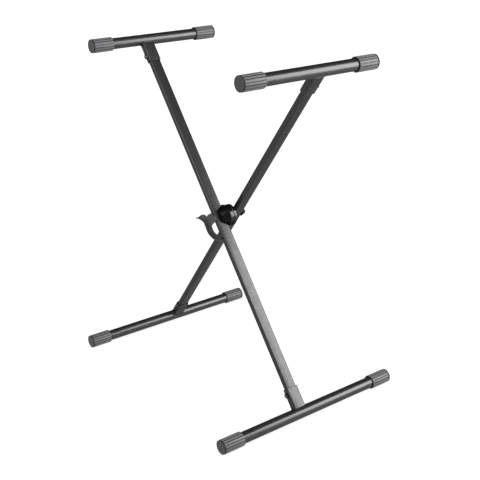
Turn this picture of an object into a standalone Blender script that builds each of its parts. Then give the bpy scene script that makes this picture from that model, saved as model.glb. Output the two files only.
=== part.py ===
"""Folding keyboard stand: two crossed legs, four rubber-capped bars and a toothed clutch.

Metres. +Z is up and +Y runs along the bars. The origin is on the floor, under the middle of the stand.
Leg a is on the -Y side and leans to -X at its top. Leg b is on the +Y side and leans to +X.
"""

import math

import bmesh
import bpy
from mathutils import Matrix

# Air kept between the faces of neighbouring pieces
GAP = 0.0003

# Bars of round tube: two arms that carry the keyboard, and two feet
TUBE_D = 0.0254
TUBE_WALL = 0.0015
TUBE_SIDES = 32
ARM_SPAN = 0.331
FOOT_SPAN = 0.467

# Rubber end caps, fluted along their length
CAP_LENGTH = 0.052
CAP_FLOOR = 0.004
CAP_WALL = 0.0016
CAP_FLUTE_DEPTH = 0.0012
CAP_FLUTES = 16
CAP_LAND_WIDTH = 0.0034
CAP_VALLEY_WIDTH = 0.0016
CAP_EDGE = 0.0008
CAP_BUTTON_DEPTH = 0.0014
CAP_BUTTON_EDGE = 0.0008
CAP_BUTTON_INSET = 0.0003
CAP_GROOVE_WIDTH = 0.0020
CAP_GROOVE_DEPTH = 0.0020
CAP_MOUTH_DEPTH = 0.004
CAP_MOUTH_FLARE = 0.0009

# Legs of flat-sided tube: the width runs along Y and the depth across the leg
LEG_WIDTH = 0.0254
LEG_DEPTH = 0.0127
LEG_WALL = 0.0015
LEG_CORNER = 0.0024
LEG_LEAN = math.radians(38.04)
LEG_UPPER = 0.4635
LEG_LOWER = 0.4678
LEG_END_SETBACK = 0.016
LEG_SPACE = 0.020

# Sockets that stand on the bars and take the ends of the legs
SOCKET_WALL = 0.0017
SOCKET_CORNER = 0.0030
SOCKET_REACH = 0.058
SOCKET_BOLT_REACH = 0.044
SOCKET_BOLT_D = 0.006
SOCKET_BOLT_HEAD = 0.0042
SOCKET_BOLT_FLATS = 0.010
SOCKET_BOLT_SPARE = 0.0015
WELD_NUT_D = 0.009
WELD_NUT_HEIGHT = 0.005

# Toothed clutch between the legs
DISC_D = 0.0492
FIXED_DISC_DEPTH = 0.0074
SLIDING_DISC_DEPTH = 0.0102
DISC_CHAMFER = 0.0005
DISC_BACK_CHAMFER = 0.0012
DISC_SIDES = 40
TEETH = 30
TEETH_INNER_R = 0.0135
TEETH_OUTER_R = 0.0220
TOOTH_DEPTH = 0.0012
TOOTH_CUTTER_R = 0.0015
PRONG_WIDTH = 0.0084
PRONG_REACH = 0.0095
PRONG_CLEARANCE = 0.0005

# Clutch cover: a cone set into leg a, with a rolled lip round its mouth
HOUSING_MOUTH_D = 0.0516
HOUSING_FLOOR_D = 0.0330
HOUSING_DEPTH = 0.018
HOUSING_WALL = 0.0015
HOUSING_LIP = 0.0008
HOUSING_LIP_DEPTH = 0.0017
HOUSING_SETBACK = 0.0092
HOUSING_MOUTH_INSET = 0.0021
HOUSING_FLOOR_INSET = 0.00075
HOUSING_SEAT_CLEARANCE = 0.00036

# Spring that closes the clutch
SPRING_R = 0.0125
SPRING_WIRE_D = 0.0018
SPRING_TURNS = 3.5
SPRING_STEPS_PER_TURN = 16

# Release: turning the lever draws the sliding disc back by the clutch stroke
CLUTCH_STROKE = 0.0015
LEVER_SWING = math.radians(18)
CAM_WALL = 0.0013
CAM_END_BRIDGE = 0.0014
CAM_PIN_D = 0.0024
CAM_PIN_INSET = 0.0003

# Pivot stud, washer and lock nut
STUD_D = 0.008
STUD_NECK_D = 0.006
STUD_HEAD_D = 0.010
STUD_HEAD_DEPTH = 0.0015
STUD_SPARE = 0.002
WASHER_D = 0.018
WASHER_DEPTH = 0.0016
PIVOT_NUT_FLATS = 0.013
PIVOT_NUT_HEIGHT = 0.008

# Release lever: a stamped plate with its outer edge folded forward
LEVER_PLATE = 0.002
LEVER_FOLD_DEPTH = 0.0085
LEVER_HUB_R = 0.0075
LEVER_HUB_START = math.radians(-81)
LEVER_HUB_END = math.radians(99)
LEVER_HOLE_R = 0.0017
LEVER_HOLE = (-0.0325, -0.0076)
LEVER_FOLD = (
    (-0.0645, -0.0162),
    (-0.0585, -0.0148),
    (-0.0530, -0.0140),
    (-0.0455, -0.0143),
    (-0.0380, -0.0156),
    (-0.0322, -0.0180),
    (-0.0278, -0.0235),
    (-0.0232, -0.0310),
    (-0.0172, -0.0378),
    (-0.0095, -0.0422),
    (-0.0005, -0.0450),
    (0.0080, -0.0466),
    (0.0280, -0.0430),
)
LEVER_FINGER_EDGE = (
    (0.0280, -0.0392),
    (0.0186, -0.0372),
    (0.0070, -0.0358),
    (-0.0035, -0.0322),
    (-0.0095, -0.0262),
    (-0.0112, -0.0208),
    (-0.0070, -0.0150),
    (0.0000, -0.0090),
)
LEVER_TOP_EDGE = (
    (-0.0030, 0.0092),
    (-0.0115, 0.0094),
    (-0.0174, 0.0073),
    (-0.0234, 0.0034),
    (-0.0311, -0.0031),
    (-0.0398, -0.0021),
    (-0.0472, -0.0032),
    (-0.0518, -0.0052),
    (-0.0575, -0.0086),
    (-0.0625, -0.0130),
)

# Positions that follow from the sizes above
TUBE_R = TUBE_D / 2
CAP_BORE_R = TUBE_R + GAP
CAP_VALLEY_R = CAP_BORE_R + CAP_WALL
CAP_R = CAP_VALLEY_R + CAP_FLUTE_DEPTH
PIVOT_Z = CAP_R + LEG_LOWER * math.cos(LEG_LEAN)
LEG_OFFSET = (LEG_SPACE + LEG_WIDTH) / 2
SOCKET_BORE_WIDTH = LEG_WIDTH + 2 * GAP
SOCKET_BORE_DEPTH = LEG_DEPTH + 2 * GAP
SOCKET_WIDTH = SOCKET_BORE_WIDTH + 2 * SOCKET_WALL
SOCKET_DEPTH = SOCKET_BORE_DEPTH + 2 * SOCKET_WALL

# Places along the pivot axis, measured toward +Y from the middle of the gap between the legs
LEG_A_FACE = -LEG_SPACE / 2 - LEG_WIDTH
LEG_B_FACE = LEG_SPACE / 2 + LEG_WIDTH
FIXED_BACK = LEG_SPACE / 2 - GAP
FIXED_FACE = FIXED_BACK - FIXED_DISC_DEPTH
SLIDING_FACE = FIXED_FACE - GAP
SLIDING_BACK = SLIDING_FACE - SLIDING_DISC_DEPTH
HOUSING_MOUTH = SLIDING_FACE - HOUSING_SETBACK
HOUSING_FLOOR = HOUSING_MOUTH - HOUSING_DEPTH
LEVER_BACK = LEG_A_FACE - GAP
LEVER_FRONT = LEVER_BACK - LEVER_PLATE
PRONG_END = LEG_A_FACE + LEG_WALL + CLUTCH_STROKE + 2 * GAP
CAM_PIN_Y = PRONG_END + CAM_PIN_D / 2 + 2 * GAP
CAM_SLOT_R = CAM_PIN_D / 2 + GAP
CAM_BORE_R = STUD_NECK_D / 2 + GAP
CAM_R = CAM_BORE_R + CAM_WALL
CAM_START = LEVER_BACK + GAP
CAM_END = CAM_PIN_Y + CAM_SLOT_R + CAM_END_BRIDGE
WASHER_BACK = LEG_B_FACE + GAP
NUT_BACK = WASHER_BACK + WASHER_DEPTH + GAP
STUD_END = NUT_BACK + PIVOT_NUT_HEIGHT + STUD_SPARE

WELD_DISTANCE = 0.00001
SMOOTH_BELOW = math.radians(32)
QUARTER_TURN = math.pi / 2


def clear_scene():
    """Removes what the startup file holds."""
    for item in list(bpy.data.objects):
        bpy.data.objects.remove(item)


def new_collection(name, drawn):
    """A collection under the scene's own."""
    collection = bpy.data.collections.new(name)
    collection.hide_render = not drawn
    bpy.context.scene.collection.children.link(collection)
    return collection


def material(name, colour, roughness, metallic):
    """A plain Principled material."""
    made = bpy.data.materials.new(name)
    made.use_nodes = True
    shader = made.node_tree.nodes["Principled BSDF"]
    shader.inputs["Base Color"].default_value = (*colour, 1.0)
    shader.inputs["Roughness"].default_value = roughness
    shader.inputs["Metallic"].default_value = metallic
    return made


def place(name, data, parent=None, location=(0, 0, 0), rotation=(0, 0, 0), finish=None):
    """A named piece of the stand."""
    piece = bpy.data.objects.new(name, data)
    pieces.objects.link(piece)
    piece.parent = parent
    piece.location = location
    piece.rotation_euler = rotation
    if finish and not data.materials:
        data.materials.append(finish)
    return piece


def cutter(name, mesh, parent=None, location=(0, 0, 0), rotation=(0, 0, 0)):
    """A helper that only cuts or joins, and is never drawn."""
    helper = bpy.data.objects.new(name, mesh)
    cutters.objects.link(helper)
    helper.parent = parent
    helper.location = location
    helper.rotation_euler = rotation
    helper.hide_render = True
    helper.display_type = "WIRE"
    return helper


def combine(piece, helper, operation="DIFFERENCE"):
    """Cuts the helper from the piece, or joins it on."""
    change = piece.modifiers.new(helper.name, "BOOLEAN")
    change.operation = operation
    change.object = helper


def read_mesh(item):
    """The mesh that an object gives once its modifiers are applied."""
    bpy.context.view_layer.update()
    graph = bpy.context.evaluated_depsgraph_get()
    return bpy.data.meshes.new_from_object(item.evaluated_get(graph))


def settle(piece):
    """Puts the finished mesh in place of the piece's modifiers, so that copies can share it."""
    mesh = read_mesh(piece)
    piece.modifiers.clear()
    piece.data = mesh
    return mesh


def smooth(mesh):
    """Smooth shading that keeps the sharp edges."""
    mesh.shade_smooth()
    mesh.set_sharp_from_angle(angle=SMOOTH_BELOW)
    return mesh


def mesh_from(shape, name):
    """Turns a finished bmesh into a mesh with its faces pointing out."""
    bmesh.ops.recalc_face_normals(shape, faces=shape.faces)
    mesh = bpy.data.meshes.new(name)
    shape.to_mesh(mesh)
    shape.free()
    return smooth(mesh)


def slab(name, loops, thickness, rim=0.0):
    """A flat outline, with any holes, made solid about its own plane. The rim rounds its edges."""
    curve = bpy.data.curves.new(name, "CURVE")
    curve.dimensions = "2D"
    curve.fill_mode = "BOTH"
    curve.extrude = thickness / 2 - rim
    curve.bevel_depth = rim
    curve.bevel_resolution = 0
    curve.offset = -rim
    for loop in loops:
        spline = curve.splines.new("POLY")
        spline.points.add(len(loop) - 1)
        for point, (x, y) in zip(spline.points, loop):
            point.co = (x, y, 0, 1)
        spline.use_cyclic_u = True
    guide = bpy.data.objects.new(name, curve)
    cutters.objects.link(guide)
    mesh = read_mesh(guide)
    bpy.data.objects.remove(guide)
    shape = bmesh.new()
    shape.from_mesh(mesh)
    bmesh.ops.remove_doubles(shape, verts=shape.verts, dist=WELD_DISTANCE)
    return mesh_from(shape, name)


def block(name, size, centre=(0, 0, 0)):
    """A box of this size about this centre."""
    shape = bmesh.new()
    bmesh.ops.create_cube(shape, size=1)
    for vert in shape.verts:
        vert.co = [middle + side * edge for middle, side, edge in zip(centre, vert.co, size)]
    return mesh_from(shape, name)


def rod(name, radius, start, end, sides=24, end_radius=None):
    """A round bar or a cone along its own Z."""
    shape = bmesh.new()
    far_radius = radius if end_radius is None else end_radius
    bmesh.ops.create_cone(
        shape, cap_ends=True, segments=sides, radius1=radius, radius2=far_radius, depth=end - start
    )
    bmesh.ops.translate(shape, verts=shape.verts, vec=(0, 0, (start + end) / 2))
    return mesh_from(shape, name)


def turned(name, profile, closed, sides=TUBE_SIDES):
    """A profile of (radius, height) points, from the top of its outer side down, turned about Z."""
    mesh = bpy.data.meshes.new(name)
    edges = [(index, index + 1) for index in range(len(profile) - 1)]
    if closed:
        edges.append((len(profile) - 1, 0))
    mesh.from_pydata([(radius, 0, height) for radius, height in profile], edges, [])
    guide = bpy.data.objects.new(name, mesh)
    cutters.objects.link(guide)
    screw = guide.modifiers.new("turn", "SCREW")
    screw.steps = sides
    screw.render_steps = sides
    screw.use_merge_vertices = True
    screw.merge_threshold = WELD_DISTANCE
    solid = read_mesh(guide)
    bpy.data.objects.remove(guide)
    return smooth(solid)


def circle(radius, count, centre=(0, 0)):
    """Points round a circle."""
    angles = [math.tau * index / count for index in range(count)]
    return [(centre[0] + radius * math.cos(a), centre[1] + radius * math.sin(a)) for a in angles]


def arc(radius, start, end, steps, centre=(0, 0)):
    """Points along an arc, both ends included."""
    angles = [start + (end - start) * index / steps for index in range(steps + 1)]
    return [(centre[0] + radius * math.cos(a), centre[1] + radius * math.sin(a)) for a in angles]


def rounded_rectangle(width, depth, radius, steps=3):
    """The outline of a rectangle with round corners: the depth runs along X."""
    x = depth / 2 - radius
    y = width / 2 - radius
    corners = ((x, y), (-x, y), (-x, -y), (x, -y))
    points = []
    for index, centre in enumerate(corners):
        start = index * QUARTER_TURN
        points += arc(radius, start, start + QUARTER_TURN, steps, centre)
    return points


def smooth_path(points, steps=3):
    """A curve through all the points, as short straight runs."""
    path = []
    last = len(points) - 1
    for index in range(last):
        before = points[max(index - 1, 0)]
        start = points[index]
        end = points[index + 1]
        after = points[min(index + 2, last)]
        for step in range(steps):
            t = step / steps
            path.append(tuple(through(t, *values) for values in zip(before, start, end, after)))
    path.append(points[last])
    return path


def through(t, before, start, end, after):
    """One coordinate of a curve that passes through start and end, t of the way between them."""
    bend = 2 * before - 5 * start + 4 * end - after
    twist = 3 * (start - end) + after - before
    return start + t * ((end - before) + t * (bend + t * twist)) / 2


def offset_path(path, distance):
    """The path moved sideways, to its left."""
    moved = []
    for index, (x, y) in enumerate(path):
        x0, y0 = path[max(index - 1, 0)]
        x1, y1 = path[min(index + 1, len(path) - 1)]
        length = math.hypot(x1 - x0, y1 - y0)
        moved.append((x - distance * (y1 - y0) / length, y + distance * (x1 - x0) / length))
    return moved


def axis_empty(name, lean):
    """An empty on the pivot axis that carries what turns with it."""
    empty = bpy.data.objects.new(name, None)
    pieces.objects.link(empty)
    empty.location = (0, 0, PIVOT_Z)
    empty.rotation_euler = (0, lean, 0)
    return empty


def round_tube(name, radius, wall, length):
    """A straight open tube about its own middle."""
    profile = (
        (radius, length / 2),
        (radius, -length / 2),
        (radius - wall, -length / 2),
        (radius - wall, length / 2),
    )
    return turned(name, profile, closed=True)


def flute_outline():
    """The ribbed outline of an end cap. Each rib has a flat top, and one rib points straight down."""
    outline = []
    land_angle = math.atan(CAP_LAND_WIDTH / 2 / CAP_R)
    land_r = CAP_R / math.cos(land_angle)
    valley_angle = math.asin(CAP_VALLEY_WIDTH / 2 / CAP_VALLEY_R)
    for index in range(CAP_FLUTES):
        rib = math.tau * index / CAP_FLUTES
        valley = rib + math.pi / CAP_FLUTES
        outline += arc(land_r, rib - land_angle, rib + land_angle, 1)
        outline += arc(CAP_VALLEY_R, valley - valley_angle, valley + valley_angle, 1)
    return outline


def cap_button():
    """The plain round end of a cap, with the neck that joins it to the ribbed part."""
    radius = CAP_R - CAP_BUTTON_INSET
    neck_r = CAP_R - CAP_GROOVE_DEPTH
    neck_end = -CAP_BUTTON_DEPTH - 2 * CAP_GROOVE_WIDTH
    edge = arc(CAP_BUTTON_EDGE, QUARTER_TURN, 0, 2, (radius - CAP_BUTTON_EDGE, -CAP_BUTTON_EDGE))
    profile = [(0, 0), *edge, (radius, -CAP_BUTTON_DEPTH), (neck_r, -CAP_BUTTON_DEPTH)]
    profile += [(neck_r, neck_end), (0, neck_end)]
    return turned("cap_button", profile, True)


def end_cap():
    """A closed rubber cap: its outer face is at 0 and its mouth at minus its length."""
    ribbed = CAP_LENGTH - CAP_BUTTON_DEPTH - CAP_GROOVE_WIDTH
    body = slab("end_cap", [flute_outline()], ribbed, CAP_EDGE)
    body.transform(shift_z(ribbed / 2 - CAP_LENGTH))
    cap = place("end_cap", body)
    combine(cap, cutter("cap_button", cap_button()), "UNION")
    bore = rod("cap_bore", CAP_BORE_R, -CAP_LENGTH - GAP, -CAP_FLOOR, TUBE_SIDES)
    combine(cap, cutter("cap_bore", bore))
    flare_end = CAP_MOUTH_DEPTH - CAP_LENGTH
    flare_r = CAP_BORE_R + CAP_MOUTH_FLARE
    flare = rod("cap_flare", flare_r, -CAP_LENGTH - GAP, flare_end, TUBE_SIDES, CAP_BORE_R - GAP)
    combine(cap, cutter("cap_flare", flare))
    mesh = smooth(settle(cap))
    bpy.data.objects.remove(cap)
    return mesh


def shift_z(distance):
    """A matrix that moves along Z."""
    return Matrix.Translation((0, 0, distance))


def leg(name, side, axis):
    """One leg tube, bored through its outer side for the two socket bolts."""
    length = LEG_UPPER + LEG_LOWER - 2 * LEG_END_SETBACK
    outer = rounded_rectangle(LEG_WIDTH, LEG_DEPTH, LEG_CORNER)
    inner = rounded_rectangle(
        LEG_WIDTH - 2 * LEG_WALL, LEG_DEPTH - 2 * LEG_WALL, LEG_CORNER - LEG_WALL
    )
    mesh = slab(name, [outer, inner], length)
    mesh.transform(shift_z((LEG_UPPER - LEG_LOWER) / 2))
    tube = place(name, mesh, axis, (0, side * LEG_OFFSET, 0), finish=leg_paint)
    outward = (-side * QUARTER_TURN, 0, 0)
    for reach in (LEG_UPPER - SOCKET_BOLT_REACH, SOCKET_BOLT_REACH - LEG_LOWER):
        hole = rod("leg_bolt_hole", SOCKET_BOLT_D / 2 + GAP, 0, LEG_WIDTH, 16)
        spot = (0, side * LEG_OFFSET, reach)
        combine(tube, cutter("leg_bolt_hole", hole, axis, spot, outward))
    return tube


def socket_mesh():
    """A sleeve that stands on a bar. The bar's axis is Y, and the bolt goes in from -Y."""
    outer = rounded_rectangle(SOCKET_WIDTH, SOCKET_DEPTH, SOCKET_CORNER)
    inner = rounded_rectangle(SOCKET_BORE_WIDTH, SOCKET_BORE_DEPTH, LEG_CORNER)
    body = slab("socket", [outer, inner], SOCKET_REACH)
    body.transform(shift_z(SOCKET_REACH / 2))
    sleeve = place("socket", body)
    saddle = rod("socket_saddle", TUBE_R + GAP, -SOCKET_WIDTH, SOCKET_WIDTH, TUBE_SIDES)
    combine(sleeve, cutter("socket_saddle", saddle, rotation=(QUARTER_TURN, 0, 0)))
    hole = rod("socket_hole", SOCKET_BOLT_D / 2 + GAP, 0, SOCKET_WIDTH, 16)
    spot = (0, 0, SOCKET_BOLT_REACH)
    combine(sleeve, cutter("socket_hole", hole, location=spot, rotation=(QUARTER_TURN, 0, 0)))
    mesh = smooth(settle(sleeve))
    bpy.data.objects.remove(sleeve)
    return mesh


def hexagon(flats):
    """The outline of a hexagon, measured across its flats."""
    return circle(flats / math.sqrt(3), 6)


def bolt_mesh():
    """A hexagon bolt for a socket: it points down -Z, with its head's seat at 0."""
    grip = SOCKET_WALL + LEG_WALL + WELD_NUT_HEIGHT + 3 * GAP + SOCKET_BOLT_SPARE
    head = slab("bolt", [hexagon(SOCKET_BOLT_FLATS)], SOCKET_BOLT_HEAD)
    head.transform(shift_z(SOCKET_BOLT_HEAD / 2))
    bolt = place("bolt", head)
    shank = rod("bolt_shank", SOCKET_BOLT_D / 2, -grip, SOCKET_BOLT_HEAD / 2, 16)
    combine(bolt, cutter("bolt_shank", shank), "UNION")
    mesh = smooth(settle(bolt))
    bpy.data.objects.remove(bolt)
    return mesh


def nut_mesh(name, flats, height, bore_r):
    """A hexagon nut about its own middle."""
    return slab(name, [hexagon(flats), circle(bore_r, 16)], height)


def weld_nut_mesh():
    """A round nut that is welded inside a leg."""
    wall = (WELD_NUT_D - SOCKET_BOLT_D) / 2 - GAP
    return round_tube("weld_nut", WELD_NUT_D / 2, wall, WELD_NUT_HEIGHT)


def bar(label, side, axis, reach, span):
    """A bar with its tube, caps, socket, bolt and nut. A positive reach is the top of the leg."""
    leg_name = "a" if side < 0 else "b"
    centre = (0, 0, reach)
    upright = -side * LEG_LEAN
    tube_length = span - 2 * (CAP_FLOOR + GAP)
    tube = round_tube("bar_tube", TUBE_R, TUBE_WALL, tube_length)
    place(f"{label}_tube_{leg_name}", tube, axis, centre, (-QUARTER_TURN, upright, 0), bar_paint)
    for end, turn in (("front", QUARTER_TURN), ("rear", -QUARTER_TURN)):
        out = math.copysign(span / 2, -turn)
        spot = (0, out, reach)
        place(f"{label}_cap_{leg_name}_{end}", cap_body, axis, spot, (turn, upright, 0), rubber)
    flip = math.pi if reach > 0 else 0
    facing = math.pi if side > 0 else 0
    socket_turn = (0, flip, facing)
    socket_spot = (0, side * LEG_OFFSET, reach)
    place(f"{label}_socket_{leg_name}", socket_body, axis, socket_spot, socket_turn, leg_paint)
    bolt_z = reach - math.copysign(SOCKET_BOLT_REACH, reach)
    seat = LEG_OFFSET + SOCKET_WIDTH / 2 + GAP
    outward = (-side * QUARTER_TURN, 0, 0)
    place(f"{label}_bolt_{leg_name}", bolt_body, axis, (0, side * seat, bolt_z), outward, black_zinc)
    nut_y = LEG_OFFSET + LEG_WIDTH / 2 - LEG_WALL - GAP - WELD_NUT_HEIGHT / 2
    place(f"{label}_nut_{leg_name}", nut_body, axis, (0, side * nut_y, bolt_z), outward, zinc)


def tooth_cutter(name, face, inward, axis):
    """Triangular bars laid like spokes across a disc's face, which cut its teeth."""
    shape = bmesh.new()
    length = TEETH_OUTER_R - TEETH_INNER_R
    centre = face - inward * (TOOTH_CUTTER_R - TOOTH_DEPTH)
    for index in range(TEETH):
        spoke = Matrix.Rotation(math.tau * index / TEETH, 4, "Z")
        lift = Matrix.Translation((TEETH_INNER_R + length / 2, 0, centre))
        lay = Matrix.Rotation(QUARTER_TURN, 4, "Y")
        point = Matrix.Rotation(math.pi if inward > 0 else 0, 4, "X")
        bmesh.ops.create_cone(
            shape, cap_ends=True, segments=3, radius1=TOOTH_CUTTER_R, radius2=TOOTH_CUTTER_R,
            depth=length, matrix=spoke @ lift @ point @ lay
        )
    return cutter(name, mesh_from(shape, name), axis, rotation=(-QUARTER_TURN, 0, 0))


def carry(name, mesh, parent, finish, lean=0.0):
    """A piece turned about the pivot: its own Z runs along the pivot axis toward +Y."""
    return place(name, mesh, parent, (0, 0, 0), (-QUARTER_TURN, lean, 0), finish)


def along_pivot(name, mesh, parent, turn=0.0):
    """A helper on the pivot axis, turned about it."""
    return cutter(name, mesh, parent, rotation=(-QUARTER_TURN, turn, 0))


def housing_cone(name, clearance):
    """The solid cone of the clutch cover, grown by a clearance and run on past the leg's inner face."""
    slope = (HOUSING_MOUTH_D - HOUSING_FLOOR_D) / 2 / (HOUSING_DEPTH - HOUSING_LIP_DEPTH)
    start = HOUSING_FLOOR - clearance
    end = HOUSING_MOUTH + HOUSING_LIP_DEPTH
    far_radius = HOUSING_FLOOR_D / 2 + clearance + slope * (end - start)
    return rod(name, HOUSING_FLOOR_D / 2 + clearance, start, end, DISC_SIDES, far_radius)


def clutch_housing(axis):
    """The cone-shaped cover, open toward the discs, with a slot in its floor for the disc's prongs."""
    mouth_r = HOUSING_MOUTH_D / 2
    floor_r = HOUSING_FLOOR_D / 2
    lip_r = HOUSING_LIP_DEPTH / 2
    lip = arc(lip_r, QUARTER_TURN, -QUARTER_TURN, 4, (mouth_r + HOUSING_LIP - lip_r, HOUSING_MOUTH - lip_r))
    step = HOUSING_MOUTH - HOUSING_LIP_DEPTH
    inner_mouth_r = DISC_D / 2 + GAP
    profile = [(inner_mouth_r, HOUSING_MOUTH), *lip, (mouth_r, step), (floor_r, HOUSING_FLOOR)]
    profile += [(0, HOUSING_FLOOR), (0, HOUSING_FLOOR + HOUSING_WALL)]
    profile += [(floor_r - HOUSING_FLOOR_INSET, HOUSING_FLOOR + HOUSING_WALL)]
    profile += [(mouth_r - HOUSING_MOUTH_INSET, step - CLUTCH_STROKE / 2), (inner_mouth_r, step)]
    cover = carry("clutch_housing", turned("clutch_housing", profile, True, DISC_SIDES), axis, gloss_black)
    slot_size = (PRONG_WIDTH + 2 * PRONG_CLEARANCE, 2 * (PRONG_REACH + PRONG_CLEARANCE), HOUSING_DEPTH)
    slot = block("housing_slot", slot_size, (0, 0, HOUSING_FLOOR))
    combine(cover, along_pivot("housing_slot", slot, axis))


def disc_profile(face, back, back_chamfer):
    """A bored disc's outline, its face up."""
    radius = DISC_D / 2
    bore = STUD_D / 2 + GAP
    return [
        (radius - DISC_CHAMFER, face),
        (radius, face - DISC_CHAMFER),
        (radius, back + back_chamfer),
        (radius - back_chamfer, back),
        (bore, back),
        (bore, face),
    ]


def sliding_disc(axis):
    """The toothed disc that slides on the stud, keyed to leg a by two prongs that run into the leg."""
    profile = disc_profile(SLIDING_FACE, SLIDING_BACK, DISC_BACK_CHAMFER)
    mesh = turned("clutch_disc_sliding", profile, True, DISC_SIDES)
    disc = carry("clutch_disc_sliding", mesh, axis, zinc)
    root = SLIDING_BACK + DISC_BACK_CHAMFER
    inner = CAM_R + GAP
    size = (PRONG_WIDTH, PRONG_REACH - inner, root - PRONG_END)
    for sign in (-1, 1):
        centre = (0, sign * (PRONG_REACH + inner) / 2, (root + PRONG_END) / 2)
        prong = block("disc_prong", size, centre)
        combine(disc, along_pivot("disc_prong", prong, axis), "UNION")
    hole = rod("pin_hole", CAM_PIN_D / 2 + GAP, -2 * PRONG_REACH, 2 * PRONG_REACH, 16)
    combine(disc, cutter("pin_hole", hole, axis, (0, CAM_PIN_Y, 0)))
    combine(disc, tooth_cutter("sliding_teeth", SLIDING_FACE, -1, axis))


def fixed_disc(axis):
    """The toothed disc that is welded to leg b."""
    profile = disc_profile(FIXED_BACK, FIXED_FACE, DISC_CHAMFER)
    mesh = turned("clutch_disc_fixed", profile, True, DISC_SIDES)
    disc = carry("clutch_disc_fixed", mesh, axis, zinc)
    combine(disc, tooth_cutter("fixed_teeth", FIXED_FACE, 1, axis))


def clutch_spring(axis):
    """A coil between the cover's floor and the sliding disc, at its length when the clutch is released."""
    start = HOUSING_FLOOR + HOUSING_WALL + GAP + SPRING_WIRE_D / 2
    end = SLIDING_BACK - CLUTCH_STROKE - GAP - SPRING_WIRE_D / 2
    count = round(SPRING_TURNS * SPRING_STEPS_PER_TURN)
    curve = bpy.data.curves.new("clutch_spring", "CURVE")
    curve.dimensions = "3D"
    curve.bevel_depth = SPRING_WIRE_D / 2
    curve.bevel_resolution = 2
    curve.use_fill_caps = True
    spline = curve.splines.new("POLY")
    spline.points.add(count)
    for index, point in enumerate(spline.points):
        turn = math.tau * index / SPRING_STEPS_PER_TURN
        height = start + (end - start) * index / count
        point.co = (SPRING_R * math.cos(turn), SPRING_R * math.sin(turn), height, 1)
    carry("clutch_spring", curve, axis, zinc)


def release_cam(axis):
    """The sleeve behind the lever, with a slanted slot on each side for a pin."""
    profile = (
        (CAM_R, CAM_END),
        (CAM_R, CAM_START),
        (CAM_BORE_R, CAM_START),
        (CAM_BORE_R, CAM_END),
    )
    cam = carry("release_cam", turned("release_cam", profile, True), axis, zinc)
    middle_r = (CAM_R + CAM_BORE_R) / 2
    run = middle_r * math.sin(LEVER_SWING / 2)
    rise = CLUTCH_STROKE / 2
    slant = math.atan2(rise, run)
    length = math.hypot(rise, run)
    low = arc(CAM_SLOT_R, slant + QUARTER_TURN, slant + 3 * QUARTER_TURN, 6,
              (-length * math.cos(slant), -length * math.sin(slant)))
    high = arc(CAM_SLOT_R, slant - QUARTER_TURN, slant + QUARTER_TURN, 6,
               (length * math.cos(slant), length * math.sin(slant)))
    for turn in (0, math.pi):
        slot = slab("cam_slot", [low + high], 2 * CAM_R)
        slot.transform(shift_z(CAM_R + GAP))
        spot = (0, CAM_PIN_Y - CLUTCH_STROKE / 2, 0)
        heading = -LEG_LEAN - LEVER_SWING / 2 + turn
        combine(cam, cutter("cam_slot", slot, axis, spot, (0, heading, 0)))


def cam_pins(axis):
    """Two short pins that join the disc's prongs to the sleeve's slots."""
    length = PRONG_REACH - CAM_PIN_INSET - CAM_BORE_R - GAP
    middle = CAM_BORE_R + GAP + length / 2
    pin = rod("cam_pin", CAM_PIN_D / 2, -length / 2, length / 2, 16)
    place("cam_pin_upper", pin, axis, (0, CAM_PIN_Y, middle), finish=zinc)
    place("cam_pin_lower", pin, axis, (0, CAM_PIN_Y, -middle))


def pivot_stud(axis):
    """The axle: its neck passes through the lever and is flared flush, and its far end takes the nut."""
    neck_r = STUD_NECK_D / 2
    front = LEVER_FRONT + GAP
    shoulder = HOUSING_FLOOR
    profile = [
        (0, STUD_END),
        (STUD_D / 2 - DISC_CHAMFER, STUD_END),
        (STUD_D / 2, STUD_END - DISC_CHAMFER),
        (STUD_D / 2, shoulder),
        (neck_r, shoulder),
        (neck_r, front + STUD_HEAD_DEPTH),
        (STUD_HEAD_D / 2, front),
        (0, front),
    ]
    carry("pivot_stud", turned("pivot_stud", profile, True), axis, zinc)


def pivot_fastening(axis):
    """Washer and lock nut on leg b's outer face."""
    bore = STUD_D / 2 + GAP
    washer = slab("pivot_washer", [circle(WASHER_D / 2, TUBE_SIDES), circle(bore, 16)], WASHER_DEPTH)
    washer.transform(shift_z(WASHER_BACK + WASHER_DEPTH / 2))
    carry("pivot_washer", washer, axis, zinc)
    nut = nut_mesh("pivot_nut", PIVOT_NUT_FLATS, PIVOT_NUT_HEIGHT, bore)
    nut.transform(shift_z(NUT_BACK + PIVOT_NUT_HEIGHT / 2))
    carry("pivot_nut", nut, axis, yellow_zinc)


def bore_legs(leg_a, leg_b, axis_a, axis_b):
    """Cuts the clutch cover's cone and the release sleeve's hole from leg a, and the stud's from leg b."""
    cone = housing_cone("leg_cone", HOUSING_SEAT_CLEARANCE)
    combine(leg_a, along_pivot("leg_cone", cone, axis_a))
    sleeve_hole = rod("leg_sleeve_hole", CAM_R + GAP, LEG_A_FACE - LEG_WALL, HOUSING_FLOOR)
    combine(leg_a, along_pivot("leg_sleeve_hole", sleeve_hole, axis_a))
    stud_hole = rod("leg_stud_hole", STUD_D / 2 + GAP, FIXED_FACE, STUD_END)
    combine(leg_b, along_pivot("leg_stud_hole", stud_hole, axis_b))


def lever_fold(name):
    """The lever's folded edge: a strip that follows the outer edge, from the thumb horn down."""
    shape = bmesh.new()
    start = -LEVER_BACK
    end = start + LEVER_FOLD_DEPTH
    rows = []
    for x, y in smooth_path(LEVER_FOLD):
        rows.append((shape.verts.new((x, y, start)), shape.verts.new((x, y, end))))
    for (low, high), (next_low, next_high) in zip(rows, rows[1:]):
        shape.faces.new((low, next_low, next_high, high))
    mesh = bpy.data.meshes.new(name)
    shape.to_mesh(mesh)
    shape.free()
    return mesh


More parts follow.
